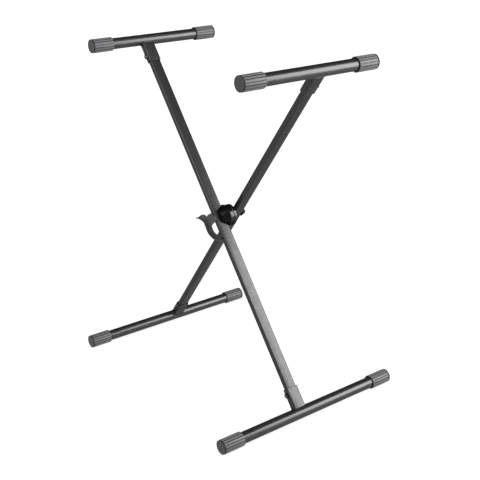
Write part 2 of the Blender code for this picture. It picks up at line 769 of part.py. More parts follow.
def release_lever(axis):
    """A stamped plate on the near face of leg a, with a finger gap between it and the leg."""
    fold_line = offset_path(smooth_path(LEVER_FOLD), LEVER_PLATE / 2)
    finger_edge = smooth_path(LEVER_FINGER_EDGE)
    hub = arc(LEVER_HUB_R, LEVER_HUB_START, LEVER_HUB_END, 10)
    top_edge = smooth_path(LEVER_TOP_EDGE)
    outline = fold_line + finger_edge + hub + top_edge
    plate = slab("release_lever", [outline, circle(LEVER_HOLE_R, 12, LEVER_HOLE)], LEVER_PLATE)
    plate.transform(shift_z(-LEVER_BACK + LEVER_PLATE / 2))
    facing = (QUARTER_TURN, 0, 0)
    lever = place("release_lever", plate, axis, rotation=facing, finish=leg_paint)
    fold = cutter("lever_fold", lever_fold("lever_fold"), axis, rotation=facing)
    wall = fold.modifiers.new("wall", "SOLIDIFY")
    wall.thickness = LEVER_PLATE
    wall.offset = -1
    combine(lever, fold, "UNION")
    neck_r = STUD_NECK_D / 2 + GAP
    flare = (STUD_HEAD_D / 2 - STUD_NECK_D / 2) / STUD_HEAD_DEPTH
    top = -LEVER_FRONT + LEVER_PLATE
    seat = -LEVER_FRONT - GAP - STUD_HEAD_DEPTH
    hole = turned(
        "lever_hole",
        [(0, top), (neck_r + flare * (top - seat), top), (neck_r, seat), (neck_r, 0), (0, 0)],
        True,
    )
    combine(lever, cutter("lever_hole", hole, axis, rotation=facing))


clear_scene()
pieces = new_collection("keyboard_stand", drawn=True)
cutters = new_collection("cutters", drawn=False)

bar_paint = material("black bar paint", (0.035, 0.033, 0.036), 0.32, 0.0)
leg_paint = material("grey hammered paint", (0.10, 0.10, 0.105), 0.45, 0.2)
gloss_black = material("gloss black cover", (0.012, 0.011, 0.013), 0.22, 0.0)
rubber = material("grey rubber", (0.11, 0.11, 0.115), 0.75, 0.0)
zinc = material("bright zinc", (0.62, 0.62, 0.64), 0.28, 1.0)
yellow_zinc = material("yellow zinc", (0.62, 0.55, 0.40), 0.30, 1.0)
black_zinc = material("black zinc", (0.10, 0.10, 0.11), 0.35, 1.0)

cap_body = end_cap()
socket_body = socket_mesh()
bolt_body = bolt_mesh()
nut_body = weld_nut_mesh()

leg_a_axis = axis_empty("leg_a_axis", -LEG_LEAN)
leg_b_axis = axis_empty("leg_b_axis", LEG_LEAN)
lever_axis = axis_empty("lever_axis", 0)

for side, axis in ((-1, leg_a_axis), (1, leg_b_axis)):
    bar("arm", side, axis, LEG_UPPER, ARM_SPAN)
    bar("foot", side, axis, -LEG_LOWER, FOOT_SPAN)

leg_a = leg("leg_a", -1, leg_a_axis)
leg_b = leg("leg_b", 1, leg_b_axis)
bore_legs(leg_a, leg_b, leg_a_axis, leg_b_axis)
clutch_housing(leg_a_axis)
sliding_disc(leg_a_axis)
clutch_spring(leg_a_axis)
cam_pins(leg_a_axis)
pivot_stud(leg_a_axis)
pivot_fastening(leg_a_axis)
fixed_disc(leg_b_axis)
release_cam(lever_axis)
release_lever(lever_axis)
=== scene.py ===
"""Looks of the folding keyboard stand: finishes, fine shapes, light and camera. Metres, +Z up."""

import math

import bmesh
import bpy
from mathutils import Matrix, Vector


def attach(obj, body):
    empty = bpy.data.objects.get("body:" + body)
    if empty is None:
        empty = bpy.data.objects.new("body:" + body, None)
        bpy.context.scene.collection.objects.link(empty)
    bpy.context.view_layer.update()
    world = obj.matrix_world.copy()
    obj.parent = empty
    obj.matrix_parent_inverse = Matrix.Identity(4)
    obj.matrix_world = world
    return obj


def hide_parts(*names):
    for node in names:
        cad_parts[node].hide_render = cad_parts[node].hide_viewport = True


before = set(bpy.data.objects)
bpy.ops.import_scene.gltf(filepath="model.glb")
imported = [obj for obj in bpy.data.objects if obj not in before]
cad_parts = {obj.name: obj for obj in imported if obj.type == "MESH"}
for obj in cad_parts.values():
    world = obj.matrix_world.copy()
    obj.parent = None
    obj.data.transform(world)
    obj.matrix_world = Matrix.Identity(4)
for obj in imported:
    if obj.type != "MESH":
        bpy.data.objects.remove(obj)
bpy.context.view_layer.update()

QUARTER_TURN = math.pi / 2
WHITE = (1, 1, 1, 1)

# Rounding, smoothing and cutting of meshes
WELD_DISTANCE = 0.000001
SMOOTH_BELOW = math.radians(35)
ROUNDING_SHARE = 0.45
EDGE_STEPS = 2
WIRE_STEPS = 3
HOLE_SIDES = 24
BORE_SIDES = 48
CUTTER_TIMES = 4

# Camera that took the photograph. Azimuths are counted from +X toward +Y
CAMERA_PLACE = (1.5244, -1.0565, 1.0564)
CAMERA_AZIMUTH = math.radians(-35.56)
CAMERA_ELEVATION = math.radians(21.58)
CAMERA_ROLL = math.radians(-1.33)
CAMERA_FOCAL_PIXELS = 866.27
PHOTO_PIXELS = 480
SENSOR = 36.0

# Light and floor
WORLD_LIGHT = 0.35
DIM_SIDE_ELEVATION = math.radians(45)
DIM_SIDE_LIGHT = 0.15
DIM_SIDE_START = 0.45
DIM_SIDE_END = 0.65
REAR_AZIMUTH = math.radians(43)
REAR_ELEVATION = math.radians(19)
REAR_DISTANCE = 2.4
REAR_WIDTH = 1.1
REAR_HEIGHT = 1.9
REAR_POWER = 80
FRONT_AZIMUTH = math.radians(-70)
FRONT_ELEVATION = math.radians(40)
FRONT_DISTANCE = 1.8
FRONT_SIDE = 1.2
FRONT_POWER = 24
FLOOR_REACH = 12.0
FLOOR_SQUARES = 8
FLOOR_GAP = 0.0003
FLOOR_GREY = 0.35
FLOOR_GLOW = 0.75
FLOOR_FAR_GLOW = 1.0
FLOOR_NEAR = 0.9
FLOOR_FAR = 2.6

# Shared by several finishes
PAINT_SPECULAR = 0.17
EVEN_GLOSS = 0.5
DISC_GLOSS = EVEN_GLOSS / 3
ROUGHNESS_SPREAD = 0.03
MARK_RUN = 0.002
MARK_HEIGHT = 0.000008
MARK_STRENGTH = 0.6

# Sizes shared with the solids
LEG_LEAN = math.radians(38.04)
LEG_UPPER = 0.4635
LEG_LOWER = 0.4678
LEG_WIDTH = 0.0254
LEG_DEPTH = 0.0127
LEG_WALL = 0.0015
LEG_CORNER = 0.0024
LEG_END_SETBACK = 0.016
LEG_SPACE = 0.020
TUBE_R = 0.0127
TUBE_WALL = 0.0015
ARM_SPAN = 0.331
FOOT_SPAN = 0.467
GAP = 0.0003

# Rubber end caps, with the steps down a rib's flank: share of its width, and height on the rib
CAP_LENGTH = 0.052
CAP_FLOOR = 0.004
CAP_R = 0.0158
CAP_VALLEY_R = 0.0146
CAP_FLUTES = 16
CAP_VALLEY_SHARE = 0.34
CAP_VALLEY_SINK = 0.05
CAP_LAND_STEPS = 5
CAP_FLANK_SHARE = 0.03
CAP_FLANK_STEPS = ((-0.25, 1.0), (0.25, 0.86), (0.75, 0.14), (1.25, 0.0))
CAP_EDGE = 0.0008
CAP_EDGE_STEPS = 3
CAP_EASE = 0.0003
CAP_DISH = 0.0005
CAP_RIM_WIDTH = 0.0022
CAP_BUTTON_DEPTH = 0.0014
CAP_BUTTON_EDGE = 0.0008
CAP_BUTTON_STEPS = 5
CAP_BUTTON_INSET = 0.0003
CAP_GROOVE_WIDTH = 0.0020
CAP_GROOVE_DEPTH = 0.0020
CAP_MOUTH_DEPTH = 0.004
CAP_MOUTH_FLARE = 0.0011
CAP_RIBS_START = -CAP_BUTTON_DEPTH - CAP_GROOVE_WIDTH

# Sockets and their bolts
SOCKET_WALL = 0.0017
SOCKET_REACH = 0.058
SOCKET_BOLT_REACH = 0.044
SOCKET_CORNER = 0.0030
SOCKET_EDGE = 0.0003
SOCKET_MOUTH_EASE = 0.0007
SOCKET_WELD_R = 0.0011
SOCKET_WELD_STEP = 0.0012
SOCKET_WELD_LIFT = SOCKET_WELD_R / 3
BOLT_R = 0.003
BOLT_HEAD = 0.0042
BOLT_FLATS = 0.010
BOLT_SPARE = 0.0015
# Radii of the painted highlight on the bolt heads: full inside the first, gone past the second
BOLT_HIGHLIGHT_R = BOLT_R / 3
BOLT_HIGHLIGHT_END_R = BOLT_R * 0.55
WELD_NUT_R = 0.0045
WELD_NUT_HEIGHT = 0.005
HEX_SIDES = 6
HEX_CROWN = 0.96
HEX_CHAMFER_SLOPE = 0.55
THREAD_PITCH = 0.001
THREAD_DEPTH = 0.0006

PIVOT_Z = CAP_R + LEG_LOWER * math.cos(LEG_LEAN)
LEG_OFFSET = (LEG_SPACE + LEG_WIDTH) / 2
SOCKET_WIDTH = LEG_WIDTH + 2 * (GAP + SOCKET_WALL)
SOCKET_DEPTH = LEG_DEPTH + 2 * (GAP + SOCKET_WALL)
PIVOT = Vector((0, 0, PIVOT_Z))

# Clutch, measured along the pivot toward +Y from the middle of the gap between the legs
STUD_R = 0.004
STUD_NECK_R = 0.003
STUD_HEAD_R = 0.005
STUD_HEAD_DEPTH = 0.0015
STUD_SPARE = 0.002
STUD_EASE = 0.0005
DISC_R = 0.0246
DISC_EASE = 0.0006
DISC_BACK_EASE = 0.0012
TEETH = 30
TEETH_INNER_R = 0.0135
TEETH_OUTER_R = 0.0220
TOOTH_DEPTH = 0.0012
PRONG_WIDTH = 0.0084
PRONG_REACH = 0.0095
PRONG_CLEARANCE = 0.0005
CLUTCH_STROKE = 0.0015
FIXED_DISC_DEPTH = 0.0074
SLIDING_DISC_DEPTH = 0.0102
SPRING_R = 0.0125
SPRING_WIRE_R = 0.0009
SPRING_TURNS = 3.5
SPRING_STEPS_PER_TURN = 48
HOUSING_MOUTH_R = 0.0258
HOUSING_FLOOR_R = 0.0165
HOUSING_DEPTH = 0.018
HOUSING_WALL = 0.0015
HOUSING_LIP = 0.0008
HOUSING_LIP_STEPS = 10
HOUSING_LIP_DEPTH = 0.0017
HOUSING_SETBACK = 0.0092
HOUSING_MOUTH_INSET = 0.0021
HOUSING_FLOOR_INSET = 0.00075
HOUSING_SEAT_CLEARANCE = 0.00036
HOUSING_OUTER_EASE = 0.00075
HOUSING_INNER_EASE = 0.0005
FIXED_BACK = LEG_SPACE / 2 - GAP
FIXED_FACE = FIXED_BACK - FIXED_DISC_DEPTH
SLIDING_FACE = FIXED_FACE - GAP
SLIDING_BACK = SLIDING_FACE - SLIDING_DISC_DEPTH
HOUSING_MOUTH = SLIDING_FACE - HOUSING_SETBACK
HOUSING_FLOOR = HOUSING_MOUTH - HOUSING_DEPTH
LEG_A_FACE = -LEG_SPACE / 2 - LEG_WIDTH
LEG_B_FACE = LEG_SPACE / 2 + LEG_WIDTH
WASHER_R = 0.009
WASHER_DEPTH = 0.0016
WASHER_EASE = WASHER_DEPTH / 3
PIVOT_NUT_FLATS = 0.013
PIVOT_NUT_HEIGHT = 0.008
NUT_COLLAR = 0.0018
NUT_COLLAR_EASE = NUT_COLLAR / 3
NUT_COLLAR_SHARE = 0.92
WASHER_BACK = LEG_B_FACE + GAP
NUT_BACK = WASHER_BACK + WASHER_DEPTH + GAP
STUD_END = NUT_BACK + PIVOT_NUT_HEIGHT + STUD_SPARE

# Release lever
LEVER_SWING = math.radians(18)
LEVER_PLATE = 0.002
LEVER_BEND_R = 0.0012
LEVER_HORN_R = 0.0062
LEVER_HORN_REACH = 0.034
LEVER_RIVET_GAP = 0.0001
LEVER_BEND_STEPS = 8
LEVER_EDGE = 0.0004
LEVER_EDGE_STEPS = 3
LEVER_EDGE_ABOVE = math.radians(50)
LEVER_FOLD_DEPTH = 0.0085
LEVER_HUB_R = 0.0075
LEVER_HUB_START = math.radians(-81)
LEVER_HUB_END = math.radians(99)
LEVER_HUB_STEPS = 24
LEVER_HOLE_R = 0.0017
LEVER_HOLE = (-0.0325, -0.0076)
LEVER_BACK = LEG_A_FACE - GAP
LEVER_FRONT = LEVER_BACK - LEVER_PLATE

# Outline of the lever in its own plane, from the pivot: across and up
LEVER_FOLD = (
    (-0.0645, -0.0162),
    (-0.0585, -0.0148),
    (-0.0530, -0.0140),
    (-0.0455, -0.0143),
    (-0.0380, -0.0156),
    (-0.0322, -0.0180),
    (-0.0278, -0.0235),
    (-0.0232, -0.0310),
    (-0.0172, -0.0378),
    (-0.0095, -0.0422),
    (-0.0005, -0.0450),
    (0.0080, -0.0466),
    (0.0280, -0.0430),
)
LEVER_FINGER_EDGE = (
    (0.0280, -0.0392),
    (0.0186, -0.0372),
    (0.0070, -0.0358),
    (-0.0035, -0.0322),
    (-0.0095, -0.0262),
    (-0.0112, -0.0208),
    (-0.0070, -0.0150),
    (0.0000, -0.0090),
)
LEVER_TOP_EDGE = (
    (-0.0030, 0.0092),
    (-0.0115, 0.0094),
    (-0.0174, 0.0073),
    (-0.0234, 0.0034),
    (-0.0311, -0.0031),
    (-0.0398, -0.0021),
    (-0.0472, -0.0032),
    (-0.0518, -0.0052),
    (-0.0575, -0.0086),
    (-0.0625, -0.0130),
)

# Sleeve behind the lever, and the pins in its slanted slots
CAM_PIN_R = 0.0012
CAM_SLOT_R = CAM_PIN_R + GAP
CAM_SLOT_STEPS = 12
CAM_BORE_R = STUD_NECK_R + GAP
CAM_WALL = 0.0013
CAM_END_BRIDGE = 0.0014
CAM_R = CAM_BORE_R + CAM_WALL
PRONG_END = LEG_A_FACE + LEG_WALL + CLUTCH_STROKE + 2 * GAP
CAM_PIN_Y = PRONG_END + CAM_PIN_R + 2 * GAP
CAM_START = LEVER_BACK + GAP
CAM_END = CAM_PIN_Y + CAM_SLOT_R + CAM_END_BRIDGE


def turn(angle, axis):
    """A rotation matrix."""
    return Matrix.Rotation(angle, 4, axis)


def shift(x, y, z):
    """A translation matrix."""
    return Matrix.Translation((x, y, z))


def direction(azimuth, elevation):
    """The way toward an azimuth and an elevation."""
    flat = math.cos(elevation)
    return Vector((flat * math.cos(azimuth), flat * math.sin(azimuth), math.sin(elevation)))


def new_object(name, data, matrix=None):
    """An object in the scene, at its place."""
    item = bpy.data.objects.new(name, data)
    bpy.context.scene.collection.objects.link(item)
    if matrix:
        item.matrix_world = matrix
    return item


def smoothed(mesh):
    """The mesh, shaded smooth between its sharp edges."""
    mesh.shade_smooth()
    mesh.set_sharp_from_angle(angle=SMOOTH_BELOW)
    return mesh


def as_bmesh(*meshes):
    """Meshes as one bmesh, each at its place."""
    shape = bmesh.new()
    for mesh in meshes:
        shape.from_mesh(mesh)
    return shape


def as_mesh(shape, name):
    """The bmesh as a mesh."""
    mesh = bpy.data.meshes.new(name)
    shape.to_mesh(mesh)
    shape.free()
    return smoothed(mesh)


def finished(shape, name):
    """The bmesh as a mesh, with no doubled points and its faces outward."""
    bmesh.ops.remove_doubles(shape, verts=shape.verts, dist=WELD_DISTANCE)
    bmesh.ops.recalc_face_normals(shape, faces=shape.faces)
    return as_mesh(shape, name)


def read_mesh(guide):
    """The mesh of a helper with its modifiers applied, after which the helper goes."""
    bpy.context.view_layer.update()
    graph = bpy.context.evaluated_depsgraph_get()
    mesh = bpy.data.meshes.new_from_object(guide.evaluated_get(graph))
    bpy.data.objects.remove(guide)
    return mesh


def combined(mesh, other, matrix=None, operation="DIFFERENCE"):
    """One mesh cut by another, joined to it or kept only inside it."""
    body = new_object("body", mesh)
    tool = new_object("tool", other, matrix)
    change = body.modifiers.new("change", "BOOLEAN")
    change.operation = operation
    change.object = tool
    result = read_mesh(body)
    bpy.data.objects.remove(tool)
    return smoothed(result)


def round_edges(guide, width, steps, above):
    """Rounds a helper's edges that are sharper than an angle."""
    bevel = guide.modifiers.new("edges", "BEVEL")
    bevel.width = width
    bevel.segments = steps
    bevel.limit_method = "ANGLE"
    bevel.angle_limit = above
    bevel.harden_normals = True


def circle(radius, count, centre=(0, 0)):
    """Points round a circle."""
    angles = [math.tau * index / count for index in range(count)]
    return [(centre[0] + radius * math.cos(a), centre[1] + radius * math.sin(a)) for a in angles]


def arc(radius, start, end, steps, centre=(0, 0)):
    """Points along an arc, both ends included."""
    angles = [start + (end - start) * index / steps for index in range(steps + 1)]
    return [(centre[0] + radius * math.cos(a), centre[1] + radius * math.sin(a)) for a in angles]


def rounded_rectangle(width, depth, radius, steps=6):
    """The outline of a rectangle with round corners: the depth runs along X."""
    x = depth / 2 - radius
    y = width / 2 - radius
    points = []
    for index, centre in enumerate(((x, y), (-x, y), (-x, -y), (x, -y))):
        start = index * QUARTER_TURN
        points += arc(radius, start, start + QUARTER_TURN, steps, centre)
    return points


def rounded_profile(points, radius, steps=4):
    """The profile with its inner corners rounded."""
    path = [points[0]]
    for before, corner, after in zip(points, points[1:], points[2:]):
        corner_v = Vector(corner)
        back = Vector(before) - corner_v
        ahead = Vector(after) - corner_v
        reach = min(radius, back.length * ROUNDING_SHARE, ahead.length * ROUNDING_SHARE)
        start = corner_v + back.normalized() * reach
        end = corner_v + ahead.normalized() * reach
        for step in range(steps + 1):
            t = step / steps
            path.append(tuple(start * (1 - t) ** 2 + corner_v * 2 * t * (1 - t) + end * t**2))
    path.append(points[-1])
    return path


def smooth_path(points, steps=8):
    """A curve through all the points, as short straight runs."""
    path = []
    last = len(points) - 1
    for index in range(last):
        near = [points[max(index - 1, 0)], points[index], points[index + 1], points[min(index + 2, last)]]
        for step in range(steps):
            path.append(tuple(through(step / steps, *values) for values in zip(*near)))
    path.append(points[last])
    return path


def through(t, before, start, end, after):
    """One coordinate of a curve that passes through start and end, t of the way between them."""
    bend = 2 * before - 5 * start + 4 * end - after
    twist = 3 * (start - end) + after - before
    return start + t * ((end - before) + t * (bend + t * twist)) / 2


def offset_path(path, distance):
    """The path moved sideways, to its left."""
    moved = []
    for index, (x, y) in enumerate(path):
        x0, y0 = path[max(index - 1, 0)]
        x1, y1 = path[min(index + 1, len(path) - 1)]
        length = math.hypot(x1 - x0, y1 - y0)
        moved.append((x - distance * (y1 - y0) / length, y + distance * (x1 - x0) / length))
    return moved


def flat_fill(loops, extrude=0.0, rim=0.0):
    """A flat outline with its holes, filled, and made solid if it has a thickness."""
    curve = bpy.data.curves.new("outline", "CURVE")
    curve.dimensions = "2D"
    curve.fill_mode = "BOTH"
    curve.extrude = extrude / 2 - rim if extrude else 0
    curve.bevel_depth = rim
    curve.bevel_resolution = EDGE_STEPS
    curve.offset = -rim
    for loop in loops:
        spline = curve.splines.new("POLY")
        spline.points.add(len(loop) - 1)
        for point, (x, y) in zip(spline.points, loop):
            point.co = (x, y, 0, 1)
        spline.use_cyclic_u = True
    return read_mesh(new_object("outline", curve))


def slab(name, loops, thickness, rim=0.0):
    """A flat outline made solid about its own plane, its edges rounded by the rim."""
    return finished(as_bmesh(flat_fill(loops, thickness, rim)), name)


def rod(radius, length, sides=BORE_SIDES):
    """A round cutter along Z, about its own middle."""
    return slab("rod", [circle(radius, sides)], length)


def lathe(name, profile, sides=96, ring=False):
    """A profile of (radius, height) points turned about Z. The profile of a ring closes on itself."""
    shape = bmesh.new()
    verts = [shape.verts.new((radius, 0, height)) for radius, height in profile]
    edges = [shape.edges.new(pair) for pair in zip(verts, verts[1:])]
    if ring:
        edges.append(shape.edges.new((verts[-1], verts[0])))
    bmesh.ops.spin(
        shape, geom=verts + edges, cent=(0, 0, 0), axis=(0, 0, 1), angle=math.tau, steps=sides,
        use_merge=True
    )
    return finished(shape, name)


def wire(name, points, radius, ring=False):
    """A round wire or bead along the points."""
    curve = bpy.data.curves.new(name, "CURVE")
    curve.dimensions = "3D"
    curve.bevel_depth = radius
    curve.bevel_resolution = WIRE_STEPS
    curve.use_fill_caps = not ring
    spline = curve.splines.new("POLY")
    spline.points.add(len(points) - 1)
    for point, place in zip(spline.points, points):
        point.co = (*place, 1)
    spline.use_cyclic_u = ring
    return finished(as_bmesh(read_mesh(new_object(name, curve))), name)


def add(solid, look, mesh, body, finish, matrix):
    """A piece that stands for a solid and moves with a body. Its name is the solid's and its look."""
    item = new_object(f"{solid}_{look}", mesh, matrix)
    if not mesh.materials:
        mesh.materials.append(finish)
    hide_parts(solid)
    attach(item, body)


def skin(rows, ring):
    """A bmesh over rows of points that all have the same count. The rows may be rings."""
    shape = bmesh.new()
    placed = [[shape.verts.new(point) for point in row] for row in rows]
    count = len(placed[0])
    for row, following in zip(placed, placed[1:]):
        for index in range(count if ring else count - 1):
            beside = (index + 1) % count
            shape.faces.new((row[index], following[index], following[beside], row[beside]))
    return shape


def rib_angles():
    """Angles round an end cap, each with its height on the rib: 1 on a rib's flat top, 0 in a groove."""
    half_land = (1 - CAP_VALLEY_SHARE) / 2 - CAP_FLANK_SHARE
    places = [((2 * step / CAP_LAND_STEPS - 1) * half_land, 1.0) for step in range(CAP_LAND_STEPS)]
    flank = [(half_land + part * CAP_FLANK_SHARE, height) for part, height in CAP_FLANK_STEPS]
    places += [*flank, (0.5, -CAP_VALLEY_SINK)]
    places += [(1 - part, height) for part, height in reversed(flank[1:])]
    angles = []
    for index in range(CAP_FLUTES):
        angles += [(math.tau * (index + part) / CAP_FLUTES, height) for part, height in places]
    return angles


def cap_stations():
    """Rings along a cap from the middle of its end face to the mouth: height, rib radius, groove radius."""
    button_r = CAP_R - CAP_BUTTON_INSET
    edge_r = button_r - CAP_BUTTON_EDGE
    dish_r = edge_r - CAP_RIM_WIDTH
    dish = ((dish_r / 2, -CAP_DISH), (dish_r, -CAP_DISH), (dish_r + CAP_DISH, 0), (edge_r, 0))
    button = [(0, -CAP_DISH), *rounded_profile(dish, CAP_DISH)]
    button += arc(CAP_BUTTON_EDGE, QUARTER_TURN, 0, CAP_BUTTON_STEPS, (edge_r, -CAP_BUTTON_EDGE))[1:]
    button.append((button_r, CAP_EASE - CAP_BUTTON_DEPTH))
    button.append((button_r - CAP_EASE, -CAP_BUTTON_DEPTH))
    button.append((CAP_R - CAP_GROOVE_DEPTH, -CAP_BUTTON_DEPTH - CAP_EASE / 2))
    button.append((CAP_R - CAP_GROOVE_DEPTH, CAP_RIBS_START + CAP_EASE / 2))
    rib_r = CAP_R - CAP_EDGE
    ribs = arc(CAP_EDGE, QUARTER_TURN, 0, CAP_EDGE_STEPS, (rib_r, CAP_RIBS_START - CAP_EDGE))
    ribs += arc(CAP_EDGE, 0, -QUARTER_TURN, CAP_EDGE_STEPS, (rib_r, CAP_EDGE - CAP_LENGTH))
    bore_r = TUBE_R + GAP
    mouth = [(bore_r + CAP_MOUTH_FLARE, -CAP_LENGTH), (bore_r, CAP_MOUTH_DEPTH - CAP_LENGTH)]
    mouth += [(bore_r, -CAP_FLOOR), (0, -CAP_FLOOR)]
    stations = [(height, radius, radius) for radius, height in button]
    stations += [(height, radius, min(CAP_VALLEY_R, radius)) for radius, height in ribs]
    return stations + [(height, radius, radius) for radius, height in mouth]


def end_cap():
    """A ribbed rubber cap, its end face at 0 and its mouth at minus its length."""
    rings = []
    angles = rib_angles()
    for height, land_r, valley_r in cap_stations():
        ring = []
        for angle, rib in angles:
            radius = valley_r + (land_r - valley_r) * rib
            ring.append((radius * math.cos(angle), radius * math.sin(angle), height))
        rings.append(ring)
    return finished(skin(rings, ring=True), "end_cap")


def bar_tube(name, span):
    """A bar's round tube, open at both ends, about its own middle."""
    half = span / 2 - CAP_FLOOR - GAP
    inner = TUBE_R - TUBE_WALL
    return lathe(name, ((TUBE_R, half), (TUBE_R, -half), (inner, -half), (inner, half)), ring=True)


def leg_tube(name, side):
    """A leg's flat-sided tube with round corners, its outer side bored for the two socket bolts."""
    length = LEG_UPPER + LEG_LOWER - 2 * LEG_END_SETBACK
    outer = rounded_rectangle(LEG_WIDTH, LEG_DEPTH, LEG_CORNER)
    inner_corner = LEG_CORNER - LEG_WALL
    inner = rounded_rectangle(LEG_WIDTH - 2 * LEG_WALL, LEG_DEPTH - 2 * LEG_WALL, inner_corner)
    mesh = slab(name, [outer, inner], length)
    mesh.transform(shift(0, 0, (LEG_UPPER - LEG_LOWER) / 2))
    hole = rod(BOLT_R + GAP, LEG_WIDTH, HOLE_SIDES)
    for reach in (LEG_UPPER - SOCKET_BOLT_REACH, SOCKET_BOLT_REACH - LEG_LOWER):
        across = shift(0, side * LEG_WIDTH / 2, reach) @ turn(QUARTER_TURN, "X")
        mesh = combined(mesh, hole, across)
    return mesh


def socket():
    """A coped sleeve on a bar, with the weld bead that holds it. The bolt goes in from -Y."""
    outer = rounded_rectangle(SOCKET_WIDTH, SOCKET_DEPTH, SOCKET_CORNER)
    inner = rounded_rectangle(LEG_WIDTH + 2 * GAP, LEG_DEPTH + 2 * GAP, LEG_CORNER)
    sleeve = slab("socket", [outer, inner], SOCKET_REACH, SOCKET_MOUTH_EASE)
    sleeve.transform(shift(0, 0, SOCKET_REACH / 2))
    saddle = rod(TUBE_R + GAP, 2 * SOCKET_WIDTH, sides=96)
    sleeve = combined(sleeve, saddle, turn(QUARTER_TURN, "X"))
    hole = rod(BOLT_R + GAP, SOCKET_WIDTH, HOLE_SIDES)
    across = shift(0, -SOCKET_WIDTH / 2, SOCKET_BOLT_REACH) @ turn(QUARTER_TURN, "X")
    sleeve = combined(sleeve, hole, across)
    body = new_object("socket", as_mesh(as_bmesh(sleeve, weld_bead(outer)), "socket"))
    round_edges(body, SOCKET_EDGE, EDGE_STEPS, SMOOTH_BELOW)
    return read_mesh(body)


def weld_bead(outline):
    """The bead along the line where a socket's outline meets its bar."""
    points = []
    count = len(outline)
    for index in range(count):
        x, y = outline[index]
        x1, y1 = outline[(index + 1) % count]
        runs = max(1, round(math.hypot(x1 - x, y1 - y) / SOCKET_WELD_STEP))
        for step in range(runs):
            px = x + (x1 - x) * step / runs
            py = y + (y1 - y) * step / runs
            points.append((px, py, math.sqrt((TUBE_R + GAP) ** 2 - px**2) + SOCKET_WELD_LIFT))
    return wire("weld_bead", points, SOCKET_WELD_R, ring=True)


def chamfered_hexagon(name, flats, height):
    """A hexagon from 0 up, measured across its flats, with its corners turned off at the top."""
    corner_r = flats / math.sqrt(3)
    body = slab(name, [circle(corner_r, HEX_SIDES)], height + 2 * GAP)
    body.transform(shift(0, 0, height / 2))
    outer = corner_r + GAP
    crown_r = flats / 2 * HEX_CROWN
    drop = (outer - crown_r) * HEX_CHAMFER_SLOPE
    profile = ((0, height), (crown_r, height), (outer, height - drop), (outer, 0), (0, 0))
    return combined(body, lathe("crown", profile), operation="INTERSECT")


def thread_profile(radius, start, end):
    """Points down the outside of a thread from its start to its end, as rings."""
    count = int((start - end) / THREAD_PITCH)
    points = []
    for index in range(count):
        top = start - index * THREAD_PITCH
        points.append((radius - THREAD_DEPTH, top))
        points.append((radius, top - THREAD_PITCH / 2))
    points.append((radius - THREAD_DEPTH, end))
    return points


def socket_bolt():
    """A hexagon bolt that points down, with its head's seat at 0."""
    thread_start = -SOCKET_WALL - 2 * GAP
    end = thread_start - LEG_WALL - GAP - WELD_NUT_HEIGHT - BOLT_SPARE
    head = chamfered_hexagon("bolt_head", BOLT_FLATS, BOLT_HEAD)
    profile = [(0, BOLT_HEAD / 2), (BOLT_R, BOLT_HEAD / 2), (BOLT_R, thread_start)]
    profile += thread_profile(BOLT_R, thread_start, end)
    profile += [(0, end)]
    return combined(head, lathe("bolt_shank", profile, sides=48), operation="UNION")


def weld_nut():
    """A round nut that is welded inside a leg, from 0 up, its outer edges eased."""
    bore = BOLT_R + GAP
    top = WELD_NUT_HEIGHT
    profile = [(bore, 0), (WELD_NUT_R, 0), (WELD_NUT_R, top), (bore, top)]
    return lathe("weld_nut", rounded_profile(profile, GAP), sides=48, ring=True)


def clutch_housing():
    """The cone-shaped cover with its rolled lip and the slot for the disc's prongs."""
    lip_r = HOUSING_LIP_DEPTH / 2
    lip_centre = (HOUSING_MOUTH_R + HOUSING_LIP - lip_r, HOUSING_MOUTH - lip_r)
    lip = arc(lip_r, QUARTER_TURN, -QUARTER_TURN, HOUSING_LIP_STEPS, lip_centre)
    step = HOUSING_MOUTH - HOUSING_LIP_DEPTH
    inner_mouth_r = DISC_R + GAP
    top = HOUSING_FLOOR + HOUSING_WALL
    outside = [(HOUSING_MOUTH_R, step), (HOUSING_FLOOR_R, HOUSING_FLOOR), (0, HOUSING_FLOOR)]
    inside = [(0, top), (HOUSING_FLOOR_R - HOUSING_FLOOR_INSET, top)]
    inside += [(HOUSING_MOUTH_R - HOUSING_MOUTH_INSET, step - CLUTCH_STROKE / 2), (inner_mouth_r, step)]
    profile = [(inner_mouth_r, HOUSING_MOUTH), *lip]
    profile += rounded_profile([lip[-1], *outside], HOUSING_OUTER_EASE)[1:]
    profile += rounded_profile([*inside, (inner_mouth_r, HOUSING_MOUTH)], HOUSING_INNER_EASE)[:-1]
    cover = lathe("clutch_housing", profile, sides=128, ring=True)
    half_width = PRONG_WIDTH / 2 + PRONG_CLEARANCE
    half_reach = PRONG_REACH + PRONG_CLEARANCE
    corners = ((half_width, half_reach), (-half_width, half_reach),
               (-half_width, -half_reach), (half_width, -half_reach))
    slot = slab("slot", [corners], HOUSING_DEPTH)
    return combined(cover, slot, shift(0, 0, HOUSING_FLOOR))


def disc(name, face, back, inward, back_ease):
    """A bored disc with radial teeth cut in its face. Inward is the way from its face to its back."""
    bore = STUD_R + GAP
    profile = [
        (bore, face),
        (DISC_R - DISC_EASE, face),
        (DISC_R, face + inward * DISC_EASE),
        (DISC_R, back - inward * back_ease),
        (DISC_R - back_ease, back),
        (bore, back),
    ]
    mesh = lathe(name, rounded_profile(profile, GAP), sides=120, ring=True)
    return combined(mesh, teeth(face, inward))


